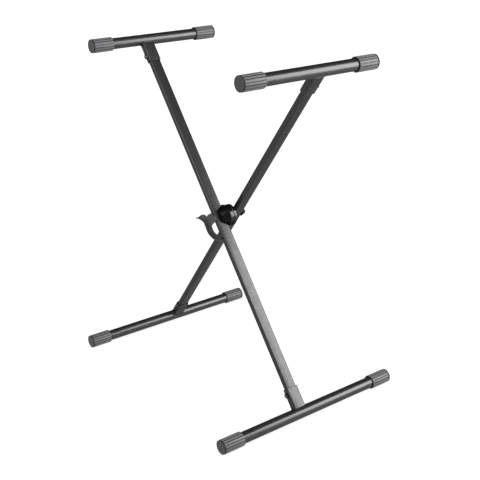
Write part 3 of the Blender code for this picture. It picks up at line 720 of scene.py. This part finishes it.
def teeth(face, inward):
    """Wedges laid like spokes across a disc's face."""
    shape = bmesh.new()
    half = math.tau * TEETH_INNER_R / TEETH / 2
    for index in range(TEETH):
        spoke = turn(math.tau * index / TEETH, "Z")
        rows = []
        for radius in (TEETH_INNER_R, TEETH_OUTER_R):
            width = half * radius / TEETH_OUTER_R
            points = ((radius, -width, face - inward * GAP), (radius, width, face - inward * GAP),
                      (radius, 0, face + inward * TOOTH_DEPTH))
            rows.append([shape.verts.new(spoke @ Vector(point)) for point in points])
        shape.faces.new(rows[0])
        shape.faces.new(rows[1])
        for corner in range(3):
            beside = (corner + 1) % 3
            shape.faces.new((rows[0][corner], rows[0][beside], rows[1][beside], rows[1][corner]))
    return finished(shape, "teeth")


def sliding_disc():
    """The disc that slides on the stud, with the two prongs that run into leg a."""
    mesh = disc("clutch_disc_sliding", SLIDING_FACE, SLIDING_BACK, -1, DISC_BACK_EASE)
    root = SLIDING_BACK + DISC_BACK_EASE
    inner = CAM_R + GAP
    for sign in (-1, 1):
        near = sign * inner
        far = sign * PRONG_REACH
        corners = ((PRONG_WIDTH / 2, near), (PRONG_WIDTH / 2, far),
                   (-PRONG_WIDTH / 2, far), (-PRONG_WIDTH / 2, near))
        prong = slab("prong", [corners], root - PRONG_END)
        mesh = combined(mesh, prong, shift(0, 0, (root + PRONG_END) / 2), "UNION")
    hole = rod(CAM_PIN_R + GAP, CUTTER_TIMES * PRONG_REACH, HOLE_SIDES)
    return combined(mesh, hole, shift(0, 0, CAM_PIN_Y) @ turn(QUARTER_TURN, "X"))


def clutch_spring():
    """The coil between the cover's floor and the sliding disc, at its length when released."""
    start = HOUSING_FLOOR + HOUSING_WALL + GAP + SPRING_WIRE_R
    end = SLIDING_BACK - CLUTCH_STROKE - GAP - SPRING_WIRE_R
    count = round(SPRING_TURNS * SPRING_STEPS_PER_TURN)
    points = []
    for index in range(count + 1):
        angle = math.tau * index / SPRING_STEPS_PER_TURN
        height = start + (end - start) * index / count
        points.append((SPRING_R * math.cos(angle), SPRING_R * math.sin(angle), height))
    return wire("clutch_spring", points, SPRING_WIRE_R)


def pivot_stud():
    """The axle, with its flared head at the lever and its thread at leg b."""
    front = LEVER_FRONT + GAP
    thread_start = STUD_END - STUD_EASE
    thread_end = WASHER_BACK
    profile = [(0, STUD_END), (STUD_R - STUD_EASE, STUD_END)]
    profile += thread_profile(STUD_R, thread_start, thread_end)
    profile += [
        (STUD_R, thread_end),
        (STUD_R, HOUSING_FLOOR),
        (STUD_NECK_R, HOUSING_FLOOR),
        (STUD_NECK_R, front + STUD_HEAD_DEPTH),
        (STUD_HEAD_R, front),
        (0, front),
    ]
    mesh = lathe("pivot_stud", profile, sides=64)
    mesh.materials.append(zinc)
    mesh.materials.append(lever_paint)
    for face in mesh.polygons:
        if face.center.z < front + GAP:
            face.material_index = 1
    return mesh


def pivot_washer():
    """A stamped washer, its outer edges rounded."""
    bore = STUD_R + GAP
    top = WASHER_BACK + WASHER_DEPTH
    profile = [(bore, WASHER_BACK), (WASHER_R, WASHER_BACK), (WASHER_R, top), (bore, top)]
    return lathe("pivot_washer", rounded_profile(profile, WASHER_EASE), ring=True)


def pivot_nut():
    """A chamfered lock nut with the round collar that holds its nylon ring."""
    hex_height = PIVOT_NUT_HEIGHT - NUT_COLLAR
    nut = chamfered_hexagon("pivot_nut", PIVOT_NUT_FLATS, hex_height)
    outer = PIVOT_NUT_FLATS / 2 * NUT_COLLAR_SHARE
    low = hex_height - NUT_COLLAR
    profile = [(0, low), (outer, low), (outer, PIVOT_NUT_HEIGHT), (0, PIVOT_NUT_HEIGHT)]
    collar = lathe("collar", rounded_profile(profile, NUT_COLLAR_EASE), sides=64)
    nut = combined(nut, collar, operation="UNION")
    nut = combined(nut, rod(STUD_R + GAP, CUTTER_TIMES * PIVOT_NUT_HEIGHT))
    nut.transform(shift(0, 0, NUT_BACK))
    return nut


def cam_pin():
    """A short pin with eased ends, about its own middle."""
    half = (PRONG_REACH - CAM_BORE_R) / 2 - GAP
    profile = [(0, half), (CAM_PIN_R, half), (CAM_PIN_R, -half), (0, -half)]
    return lathe("cam_pin", rounded_profile(profile, GAP), sides=32)


def release_cam():
    """The slotted sleeve behind the lever: its own Z runs toward +Y."""
    profile = [(CAM_R, CAM_END), (CAM_R, CAM_START), (CAM_BORE_R, CAM_START), (CAM_BORE_R, CAM_END)]
    sleeve = lathe("release_cam", profile, sides=64, ring=True)
    run = (CAM_R + CAM_BORE_R) / 2 * math.sin(LEVER_SWING / 2)
    rise = CLUTCH_STROKE / 2
    slant = math.atan2(rise, run)
    low_start = slant + QUARTER_TURN
    high_start = slant - QUARTER_TURN
    low = arc(CAM_SLOT_R, low_start, low_start + math.pi, CAM_SLOT_STEPS, (-run, -rise))
    high = arc(CAM_SLOT_R, high_start, high_start + math.pi, CAM_SLOT_STEPS, (run, rise))
    for half_turn in (0, math.pi):
        slot = slab("slot", [low + high], 2 * CAM_R)
        slot.transform(shift(0, 0, CAM_R + GAP))
        heading = turn(-LEG_LEAN - LEVER_SWING / 2 + half_turn, "Y")
        place = along_pivot.inverted() @ shift(0, CAM_PIN_Y - CLUTCH_STROKE / 2, 0) @ heading
        sleeve = combined(sleeve, slot, place)
    return sleeve


def lever_fold():
    """The lever's folded edge: rows of points from its plate round the bend and out."""
    fold = offset_path(smooth_path(LEVER_FOLD), LEVER_PLATE / 2)
    tip = fold[0]
    depth = LEVER_FOLD_DEPTH - LEVER_PLATE / 2
    rows = []
    for (x, y), (in_x, in_y) in zip(fold, offset_path(fold, 1)):
        along = min(math.hypot(x - tip[0], y - tip[1]) / LEVER_HORN_REACH, 1)
        swell = math.sin(math.pi * along) ** 2
        bend = LEVER_BEND_R + (LEVER_HORN_R - LEVER_BEND_R) * swell
        inward = Vector((in_x - x, in_y - y))
        row = []
        for step in range(LEVER_BEND_STEPS + 1):
            angle = QUARTER_TURN * step / LEVER_BEND_STEPS
            place = Vector((x, y)) + inward * bend * (1 - math.sin(angle))
            row.append((place.x, place.y, bend * (1 - math.cos(angle))))
        row.append((x, y, depth))
        rows.append(row)
    return rows


def lever():
    """The stamped lever: one bent sheet, its outer edge folded away from the leg."""
    rows = lever_fold()
    inner_edge = [row[0][:2] for row in rows]
    hub = arc(LEVER_HUB_R, LEVER_HUB_START, LEVER_HUB_END, LEVER_HUB_STEPS)
    outline = inner_edge + smooth_path(LEVER_FINGER_EDGE) + hub + smooth_path(LEVER_TOP_EDGE)
    hole = circle(LEVER_HOLE_R, HOLE_SIDES, LEVER_HOLE)
    bore = circle(STUD_HEAD_R + LEVER_RIVET_GAP, BORE_SIDES)
    shape = as_bmesh(flat_fill([outline, hole, bore]), as_mesh(skin(rows, ring=False), "fold"))
    bmesh.ops.dissolve_degenerate(shape, edges=shape.edges, dist=WELD_DISTANCE)
    body = new_object("release_lever", finished(shape, "release_lever"))
    wall = body.modifiers.new("wall", "SOLIDIFY")
    wall.thickness = LEVER_PLATE
    wall.offset = 0
    wall.use_even_offset = True
    round_edges(body, LEVER_EDGE, LEVER_EDGE_STEPS, LEVER_EDGE_ABOVE)
    mesh = read_mesh(body)
    mesh.transform(shift(0, 0, -LEVER_BACK + LEVER_PLATE / 2))
    return mesh


def plain_finish(name, colour, roughness, metallic=0.0, specular=0.5, edge=1.0):
    """A Principled material. A low edge keeps a metal's gloss from growing toward its edges."""
    made = bpy.data.materials.new(name)
    made.use_nodes = True
    shader = made.node_tree.nodes["Principled BSDF"]
    shader.inputs["Base Color"].default_value = (*colour, 1)
    shader.inputs["Roughness"].default_value = roughness
    shader.inputs["Metallic"].default_value = metallic
    shader.inputs["Specular IOR Level"].default_value = specular
    shader.inputs["Specular Tint"].default_value = (edge, edge, edge, 1)
    return made


def node(made, kind, values=None, **settings):
    """A new node in a material, with its settings and input values."""
    item = made.node_tree.nodes.new(kind)
    for key, value in settings.items():
        setattr(item, key, value)
    for key, value in (values or {}).items():
        item.inputs[key].default_value = value
    return item


def link(made, start, end):
    """Joins an output to an input."""
    made.node_tree.links.new(start, end)


def own_place(made, stretch=(1, 1, 1)):
    """The place on a piece in its own frame, stretched along its own axes."""
    place = node(made, "ShaderNodeTexCoord")
    scaled = node(made, "ShaderNodeMapping", {"Scale": stretch})
    link(made, place.outputs["Object"], scaled.inputs["Vector"])
    return scaled.outputs["Vector"]


def calculated(made, operation, first, second):
    """The result of a calculation with two values."""
    step = node(made, "ShaderNodeMath", operation=operation)
    link(made, first, step.inputs[0])
    link(made, second, step.inputs[1])
    return step.outputs["Value"]


def turned_place(made):
    """The place on a turned piece as its radius and height, so that a pattern runs round it."""
    parts = node(made, "ShaderNodeSeparateXYZ")
    link(made, own_place(made), parts.inputs["Vector"])
    angle = calculated(made, "ARCTAN2", parts.outputs["Y"], parts.outputs["X"])
    along = node(made, "ShaderNodeMath", {1: MARK_RUN}, operation="MULTIPLY")
    link(made, angle, along.inputs[0])
    place = node(made, "ShaderNodeCombineXYZ")
    link(made, axis_distance(made), place.inputs["X"])
    link(made, along.outputs["Value"], place.inputs["Y"])
    link(made, parts.outputs["Z"], place.inputs["Z"])
    return place.outputs["Vector"]


def axis_distance(made):
    """The distance from a piece's own Z axis."""
    flat = own_place(made, (1, 1, 0))
    radius = node(made, "ShaderNodeVectorMath", operation="LENGTH")
    link(made, flat, radius.inputs[0])
    return radius.outputs["Value"]


def noise(made, place, scale, detail=3.0, roughness=0.5):
    """Noise from 0 to 1 over a piece. The scale is in patches per metre."""
    values = {"Scale": scale, "Detail": detail, "Roughness": roughness}
    pattern = node(made, "ShaderNodeTexNoise", values)
    link(made, place, pattern.inputs["Vector"])
    return pattern.outputs["Fac"]


def spread(made, source, low=0, high=1, start=0.3, end=0.7):
    """The source's values from start to end, where most of a noise lies, spread from low to high."""
    ramp = node(made, "ShaderNodeMapRange", {"From Min": start, "From Max": end,
                                             "To Min": low, "To Max": high})
    link(made, source, ramp.inputs["Value"])
    return ramp.outputs["Result"]


def vary_colour(made, source, dark, light):
    """Colours a material between two colours by a pattern."""
    blend = node(made, "ShaderNodeMix", data_type="RGBA")
    ends = [socket for socket in blend.inputs if socket.type == "RGBA"]
    ends[0].default_value = (*dark, 1)
    ends[1].default_value = (*light, 1)
    link(made, source, blend.inputs["Factor"])
    result = [socket for socket in blend.outputs if socket.type == "RGBA"][0]
    link(made, result, made.node_tree.nodes["Principled BSDF"].inputs["Base Color"])


def vary_roughness(made, source, low, high):
    """Gives a material uneven roughness by a pattern."""
    shader = made.node_tree.nodes["Principled BSDF"]
    link(made, spread(made, source, low, high), shader.inputs["Roughness"])


def relief(made, source, height, strength):
    """Gives a material a fine relief of this height in metres."""
    bump = node(made, "ShaderNodeBump", {"Distance": height, "Strength": strength})
    link(made, source, bump.inputs["Height"])
    shader = made.node_tree.nodes["Principled BSDF"]
    link(made, bump.outputs["Normal"], shader.inputs["Normal"])


def grey(value, tint=0.0):
    """A grey that leans to blue with a positive tint and to brown with a negative one."""
    return (value * (1 - tint), value, value * (1 + tint))


def flake_paint(name, colour, flake):
    """A paint that holds this share of metal flake."""
    return plain_finish(name, colour, roughness=0.3, metallic=flake, specular=PAINT_SPECULAR,
                        edge=EVEN_GLOSS)


def leg_finish(name, dark, light, flake, roughness):
    """Grey hammered powder coat of the legs, sockets and lever."""
    made = flake_paint(name, light, flake)
    place = own_place(made)
    grain = noise(made, place, scale=1500)
    patches = noise(made, place, scale=90, detail=4)
    hammered = noise(made, place, scale=260)
    vary_colour(made, spread(made, hammered), dark, light)
    vary_roughness(made, patches, roughness - ROUGHNESS_SPREAD, roughness + ROUGHNESS_SPREAD)
    relief(made, grain, height=0.00003, strength=0.6)
    return made


def bar_finish(dark, light):
    """Black half-gloss paint of the bars."""
    made = flake_paint("bar paint", grey(0.055), flake=0.8)
    place = own_place(made)
    grain = noise(made, place, scale=1100)
    patches = noise(made, place, scale=60, detail=4)
    vary_colour(made, spread(made, patches), dark, light)
    vary_roughness(made, patches, low=0.28, high=0.34)
    relief(made, grain, height=0.00002, strength=0.15)
    return made


def rubber_finish(dark, light):
    """Moulded rubber of the end caps, with painted shade: the grooves between the ribs and the groove
    behind the end button are painted dark, the end button takes the same dark colour, and the rib tops the
    pale one.
    """
    made = plain_finish("cap rubber", grey(0.05), roughness=0.46, specular=0.35)
    place = own_place(made)
    grain = noise(made, place, scale=2200, detail=2)
    patches = noise(made, place, scale=140, detail=4)
    parts = node(made, "ShaderNodeSeparateXYZ")
    link(made, place, parts.inputs["Vector"])
    # Painted shade across the ribs: 0 in the valleys between them, 1 on their tops
    rib = spread(made, axis_distance(made), start=CAP_VALLEY_R + GAP, end=CAP_R - GAP)
    # Painted shade along the cap: 0 on the end button and in the groove behind it, 1 along the ribs
    ribbed = spread(made, parts.outputs["Z"], 1, 0, CAP_RIBS_START, CAP_RIBS_START + CAP_EASE)
    vary_colour(made, calculated(made, "MULTIPLY", rib, ribbed), dark, light)
    vary_roughness(made, patches, low=0.42, high=0.52)
    relief(made, grain, height=0.00004, strength=0.6)
    return made


def gloss_black_finish(dark, light):
    """Smooth black enamel of the clutch cover."""
    made = plain_finish("gloss black", grey(0.003), roughness=0.26, specular=0.09)
    ripple = noise(made, own_place(made), scale=260, detail=2)
    vary_colour(made, spread(made, ripple), dark, light)
    vary_roughness(made, ripple, low=0.18, high=0.27)
    relief(made, ripple, height=0.00003, strength=0.4)
    return made


def turning_marks(made, scale, low, high):
    """Fine marks that run round a turned piece, between two roughnesses."""
    marks = noise(made, turned_place(made), scale, detail=2)
    vary_roughness(made, marks, low, high)
    relief(made, marks, MARK_HEIGHT, MARK_STRENGTH)


def black_oxide_finish(dark, painted_highlight):
    """Blackened steel of the socket bolts, with a painted highlight: a pale spot in the middle of the head.
    """
    made = plain_finish("black oxide", grey(0.006), roughness=0.28, specular=0.3)
    # Painted highlight: pale in the middle of each bolt head, fading to black outward
    painted_highlight_mask = spread(made, axis_distance(made), 1, 0, BOLT_HIGHLIGHT_R, BOLT_HIGHLIGHT_END_R)
    vary_colour(made, painted_highlight_mask, dark, painted_highlight)
    turning_marks(made, scale=4200, low=0.22, high=0.34)
    return made


def turned_metal(name, dark, light, low, high, edge=1.0):
    """Plated metal, turned, between two roughnesses."""
    made = plain_finish(name, light, (low + high) / 2, metallic=1.0, edge=edge)
    clouds = noise(made, own_place(made), scale=320, detail=4)
    vary_colour(made, spread(made, clouds), dark, light)
    turning_marks(made, scale=5200, low=low, high=high)
    return made


def choose_by_ray(made, output, usual, seen):
    """Shows one shader to camera, glossy and transmission rays, and the usual one to the rest."""
    rays = node(made, "ShaderNodeLightPath").outputs
    direct = calculated(made, "MAXIMUM", rays["Is Camera Ray"], rays["Is Glossy Ray"])
    choice = node(made, "ShaderNodeMixShader")
    link(made, calculated(made, "MAXIMUM", direct, rays["Is Transmission Ray"]), choice.inputs["Fac"])
    link(made, usual, choice.inputs[1])
    link(made, seen, choice.inputs[2])
    link(made, choice.outputs["Shader"], node(made, output).inputs["Surface"])


def plain_floor():
    """A pale floor that stays white to the camera but for the soft shadow of the stand."""
    shape = bmesh.new()
    bmesh.ops.create_grid(shape, x_segments=FLOOR_SQUARES, y_segments=FLOOR_SQUARES, size=FLOOR_REACH)
    mesh = finished(shape, "floor")
    made = bpy.data.materials.new("floor")
    made.use_nodes = True
    made.node_tree.nodes.clear()
    lit = node(made, "ShaderNodeBsdfDiffuse", {"Color": (*grey(FLOOR_GREY), 1)})
    glow = node(made, "ShaderNodeEmission", {"Color": WHITE})
    fade = spread(made, axis_distance(made), FLOOR_GLOW, FLOOR_FAR_GLOW, FLOOR_NEAR, FLOOR_FAR)
    link(made, fade, glow.inputs["Strength"])
    both = node(made, "ShaderNodeAddShader")
    link(made, lit.outputs["BSDF"], both.inputs[0])
    link(made, glow.outputs["Emission"], both.inputs[1])
    choose_by_ray(made, "ShaderNodeOutputMaterial", lit.outputs["BSDF"], both.outputs["Shader"])
    mesh.materials.append(made)
    new_object("floor", mesh, shift(0, 0, -FLOOR_GAP))


def white_surroundings():
    """A white backdrop. Its reflection is dim high up behind the stand, which darkens the upper edges."""
    world = bpy.data.worlds.new("studio")
    bpy.context.scene.world = world
    world.use_nodes = True
    world.node_tree.nodes.clear()
    heading = node(world, "ShaderNodeTexCoord")
    dim_side = direction(CAMERA_AZIMUTH + math.pi, DIM_SIDE_ELEVATION)
    facing = node(world, "ShaderNodeVectorMath", {1: dim_side}, operation="DOT_PRODUCT")
    link(world, heading.outputs["Generated"], facing.inputs[0])
    dimmed = spread(world, facing.outputs["Value"], 1, DIM_SIDE_LIGHT, DIM_SIDE_START, DIM_SIDE_END)
    rays = node(world, "ShaderNodeLightPath").outputs
    backdrop = node(world, "ShaderNodeBackground", {"Color": WHITE})
    shown = calculated(world, "MAXIMUM", dimmed, rays["Is Camera Ray"])
    link(world, shown, backdrop.inputs["Strength"])
    soft = node(world, "ShaderNodeBackground", {"Color": WHITE, "Strength": WORLD_LIGHT})
    choose_by_ray(world, "ShaderNodeOutputWorld", soft.outputs["Background"],
                  backdrop.outputs["Background"])


def lamp(name, azimuth, elevation, distance, width, height, power):
    """A flat soft box that faces the middle of the stand."""
    light = bpy.data.lights.new(name, "AREA")
    light.shape = "RECTANGLE"
    light.size = width
    light.size_y = height
    light.energy = power
    away = direction(azimuth, elevation)
    item = new_object(name, light)
    item.location = PIVOT + away * distance
    item.rotation_euler = away.to_track_quat("Z", "Y").to_euler()


def photograph_camera():
    """The camera at the photograph's place, direction and lens."""
    back = direction(CAMERA_AZIMUTH, CAMERA_ELEVATION)
    level = direction(CAMERA_AZIMUTH + QUARTER_TURN, 0)
    upright = back.cross(level)
    right = level * math.cos(CAMERA_ROLL) + upright * math.sin(CAMERA_ROLL)
    up = upright * math.cos(CAMERA_ROLL) - level * math.sin(CAMERA_ROLL)
    camera = bpy.data.cameras.new("camera")
    camera.sensor_width = SENSOR
    camera.lens = SENSOR * CAMERA_FOCAL_PIXELS / PHOTO_PIXELS
    facing = Matrix((right, up, back)).transposed().to_4x4()
    bpy.context.scene.camera = new_object("camera", camera, shift(*CAMERA_PLACE) @ facing)


def add_bar(label, side, reach, span):
    """A bar with its caps, socket, bolt and nut. A positive reach is the top of the leg."""
    letter = "a" if side < 0 else "b"
    body = f"leg_{letter}_frame"
    axis = leg_frames[side]
    middle = Matrix.Translation(axis @ Vector((0, 0, reach)))
    add(f"{label}_tube_{letter}", "painted", bar_meshes[label], body, bar_paint,
        middle @ turn(-QUARTER_TURN, "X"))
    for end, way in (("front", -1), ("rear", 1)):
        add(f"{label}_cap_{letter}_{end}", "ribbed", cap_mesh, body, rubber,
            middle @ shift(0, way * span / 2, 0) @ turn(-way * QUARTER_TURN, "X"))
    flip = turn(math.pi if reach > 0 else 0, "Y") @ turn(math.pi if side > 0 else 0, "Z")
    add(f"{label}_socket_{letter}", "welded", socket_body, body, leg_paint,
        axis @ shift(0, side * LEG_OFFSET, reach) @ flip)
    bolt_z = reach - math.copysign(SOCKET_BOLT_REACH, reach)
    outward = turn(-side * QUARTER_TURN, "X")
    seat = side * (LEG_OFFSET + SOCKET_WIDTH / 2 + GAP)
    add(f"{label}_bolt_{letter}", "threaded", bolt_mesh, body, black_oxide,
        axis @ shift(0, seat, bolt_z) @ outward)
    nut_y = side * (LEG_OFFSET + LEG_WIDTH / 2 - LEG_WALL - GAP - WELD_NUT_HEIGHT)
    add(f"{label}_nut_{letter}", "eased", nut_mesh, body, zinc,
        axis @ shift(0, nut_y, bolt_z) @ outward)


def add_legs():
    """Both legs, leg a with the cone-shaped opening for the clutch cover, leg b with the stud's hole."""
    slope = (HOUSING_MOUTH_R - HOUSING_FLOOR_R) / (HOUSING_DEPTH - HOUSING_LIP_DEPTH)
    start = HOUSING_FLOOR - HOUSING_SEAT_CLEARANCE
    end = HOUSING_MOUTH + HOUSING_LIP_DEPTH
    near = HOUSING_FLOOR_R + HOUSING_SEAT_CLEARANCE
    cone = lathe("cone", [(0, end), (near + slope * (end - start), end), (near, start), (0, start)])
    sleeve_hole = rod(CAM_R + GAP, CUTTER_TIMES * LEG_WALL)
    stud_hole = rod(STUD_R + GAP, CUTTER_TIMES * LEG_WIDTH)
    for side, name in ((-1, "leg_a"), (1, "leg_b")):
        mesh = leg_tube(name, side)
        leg_place = shift(0, side * LEG_OFFSET, 0)
        across = leg_place.inverted() @ along_pivot
        if side < 0:
            mesh = combined(mesh, cone, across)
            mesh = combined(mesh, sleeve_hole, across @ shift(0, 0, LEG_A_FACE))
        else:
            mesh = combined(mesh, stud_hole, across)
        add(name, "painted", mesh, f"{name}_frame", leg_paint,
            leg_frames[side] @ leg_place)


def add_clutch():
    """The clutch, its spring and cover, the stud with its washer and nut, and the release lever."""
    axis_a = leg_frames[-1] @ along_pivot
    axis_b = leg_frames[1] @ along_pivot
    fixed = disc("clutch_disc_fixed", FIXED_FACE, FIXED_BACK, 1, DISC_EASE)
    add("clutch_housing", "rolled", clutch_housing(), "leg_a_frame", gloss_black, axis_a)
    add("clutch_disc_sliding", "toothed", sliding_disc(), "sliding_disc", dark_disc, axis_a)
    add("clutch_disc_fixed", "toothed", fixed, "leg_b_frame", dark_disc, axis_b)
    add("clutch_spring", "wound", clutch_spring(), "leg_a_frame", zinc, axis_a)
    add("pivot_stud", "threaded", pivot_stud(), "leg_a_frame", zinc, axis_a)
    add("pivot_washer", "stamped", pivot_washer(), "leg_a_frame", yellow_zinc, axis_a)
    add("pivot_nut", "chamfered", pivot_nut(), "leg_a_frame", yellow_zinc, axis_a)
    pin = cam_pin()
    for end, way in (("upper", 1), ("lower", -1)):
        pin_place = leg_frames[-1] @ shift(0, CAM_PIN_Y, way * (CAM_BORE_R + PRONG_REACH) / 2)
        add(f"cam_pin_{end}", "eased", pin, "sliding_disc", zinc, pin_place)
    lever_place = Matrix.Translation(PIVOT)
    add("release_cam", "slotted", release_cam(), "lever", zinc, lever_place @ along_pivot)
    add("release_lever", "bent", lever(), "lever", lever_paint,
        lever_place @ turn(QUARTER_TURN, "X"))


bpy.context.scene.view_settings.view_transform = "Standard"
photograph_camera()
white_surroundings()
plain_floor()
lamp("rear soft box", REAR_AZIMUTH, REAR_ELEVATION, REAR_DISTANCE, REAR_WIDTH, REAR_HEIGHT, REAR_POWER)
lamp("front soft box", FRONT_AZIMUTH, FRONT_ELEVATION, FRONT_DISTANCE, FRONT_SIDE, FRONT_SIDE,
     FRONT_POWER)

leg_paint = leg_finish("leg paint", dark=grey(0.033), light=grey(0.045), flake=0.7, roughness=0.22)
# The lever paint is the leg paint made lighter, as painted light: it makes the lever plate show brighter
# than the leg face beside it
lever_paint = leg_finish("lever paint", dark=grey(0.065), light=grey(0.090), flake=0.35, roughness=0.38)
bar_paint = bar_finish(dark=(0.0515, 0.050, 0.0510), light=(0.0618, 0.060, 0.0612))
# For the caps, the dark colour is the painted shade of the grooves and the light colour is the rib tops
rubber = rubber_finish(dark=(0.0223, 0.022, 0.0230), light=(0.124, 0.122, 0.128))
gloss_black = gloss_black_finish(dark=grey(0.002, tint=0.02), light=grey(0.003, tint=0.02))
# The pale grey is the painted highlight in the middle of the bolt heads
black_oxide = black_oxide_finish(dark=grey(0.005), painted_highlight=grey(0.60))
zinc = turned_metal("zinc", dark=grey(0.30), light=grey(0.40), low=0.28, high=0.40)
dark_disc = turned_metal("dark disc", dark=grey(0.028), light=grey(0.045), low=0.22, high=0.30,
                         edge=DISC_GLOSS)
yellow_zinc = turned_metal("yellow zinc", dark=(0.014, 0.0115, 0.0095), light=(0.024, 0.020, 0.016),
                           low=0.46, high=0.56, edge=EVEN_GLOSS)

along_pivot = turn(-QUARTER_TURN, "X")
leg_frames = {side: Matrix.Translation(PIVOT) @ turn(side * LEG_LEAN, "Y") for side in (-1, 1)}

cap_mesh = end_cap()
socket_body = socket()
bolt_mesh = socket_bolt()
nut_mesh = weld_nut()
bar_meshes = {"arm": bar_tube("arm_tube", ARM_SPAN), "foot": bar_tube("foot_tube", FOOT_SPAN)}

for side in (-1, 1):
    add_bar("arm", side, LEG_UPPER, ARM_SPAN)
    add_bar("foot", side, -LEG_LOWER, FOOT_SPAN)
add_legs()
add_clutch()
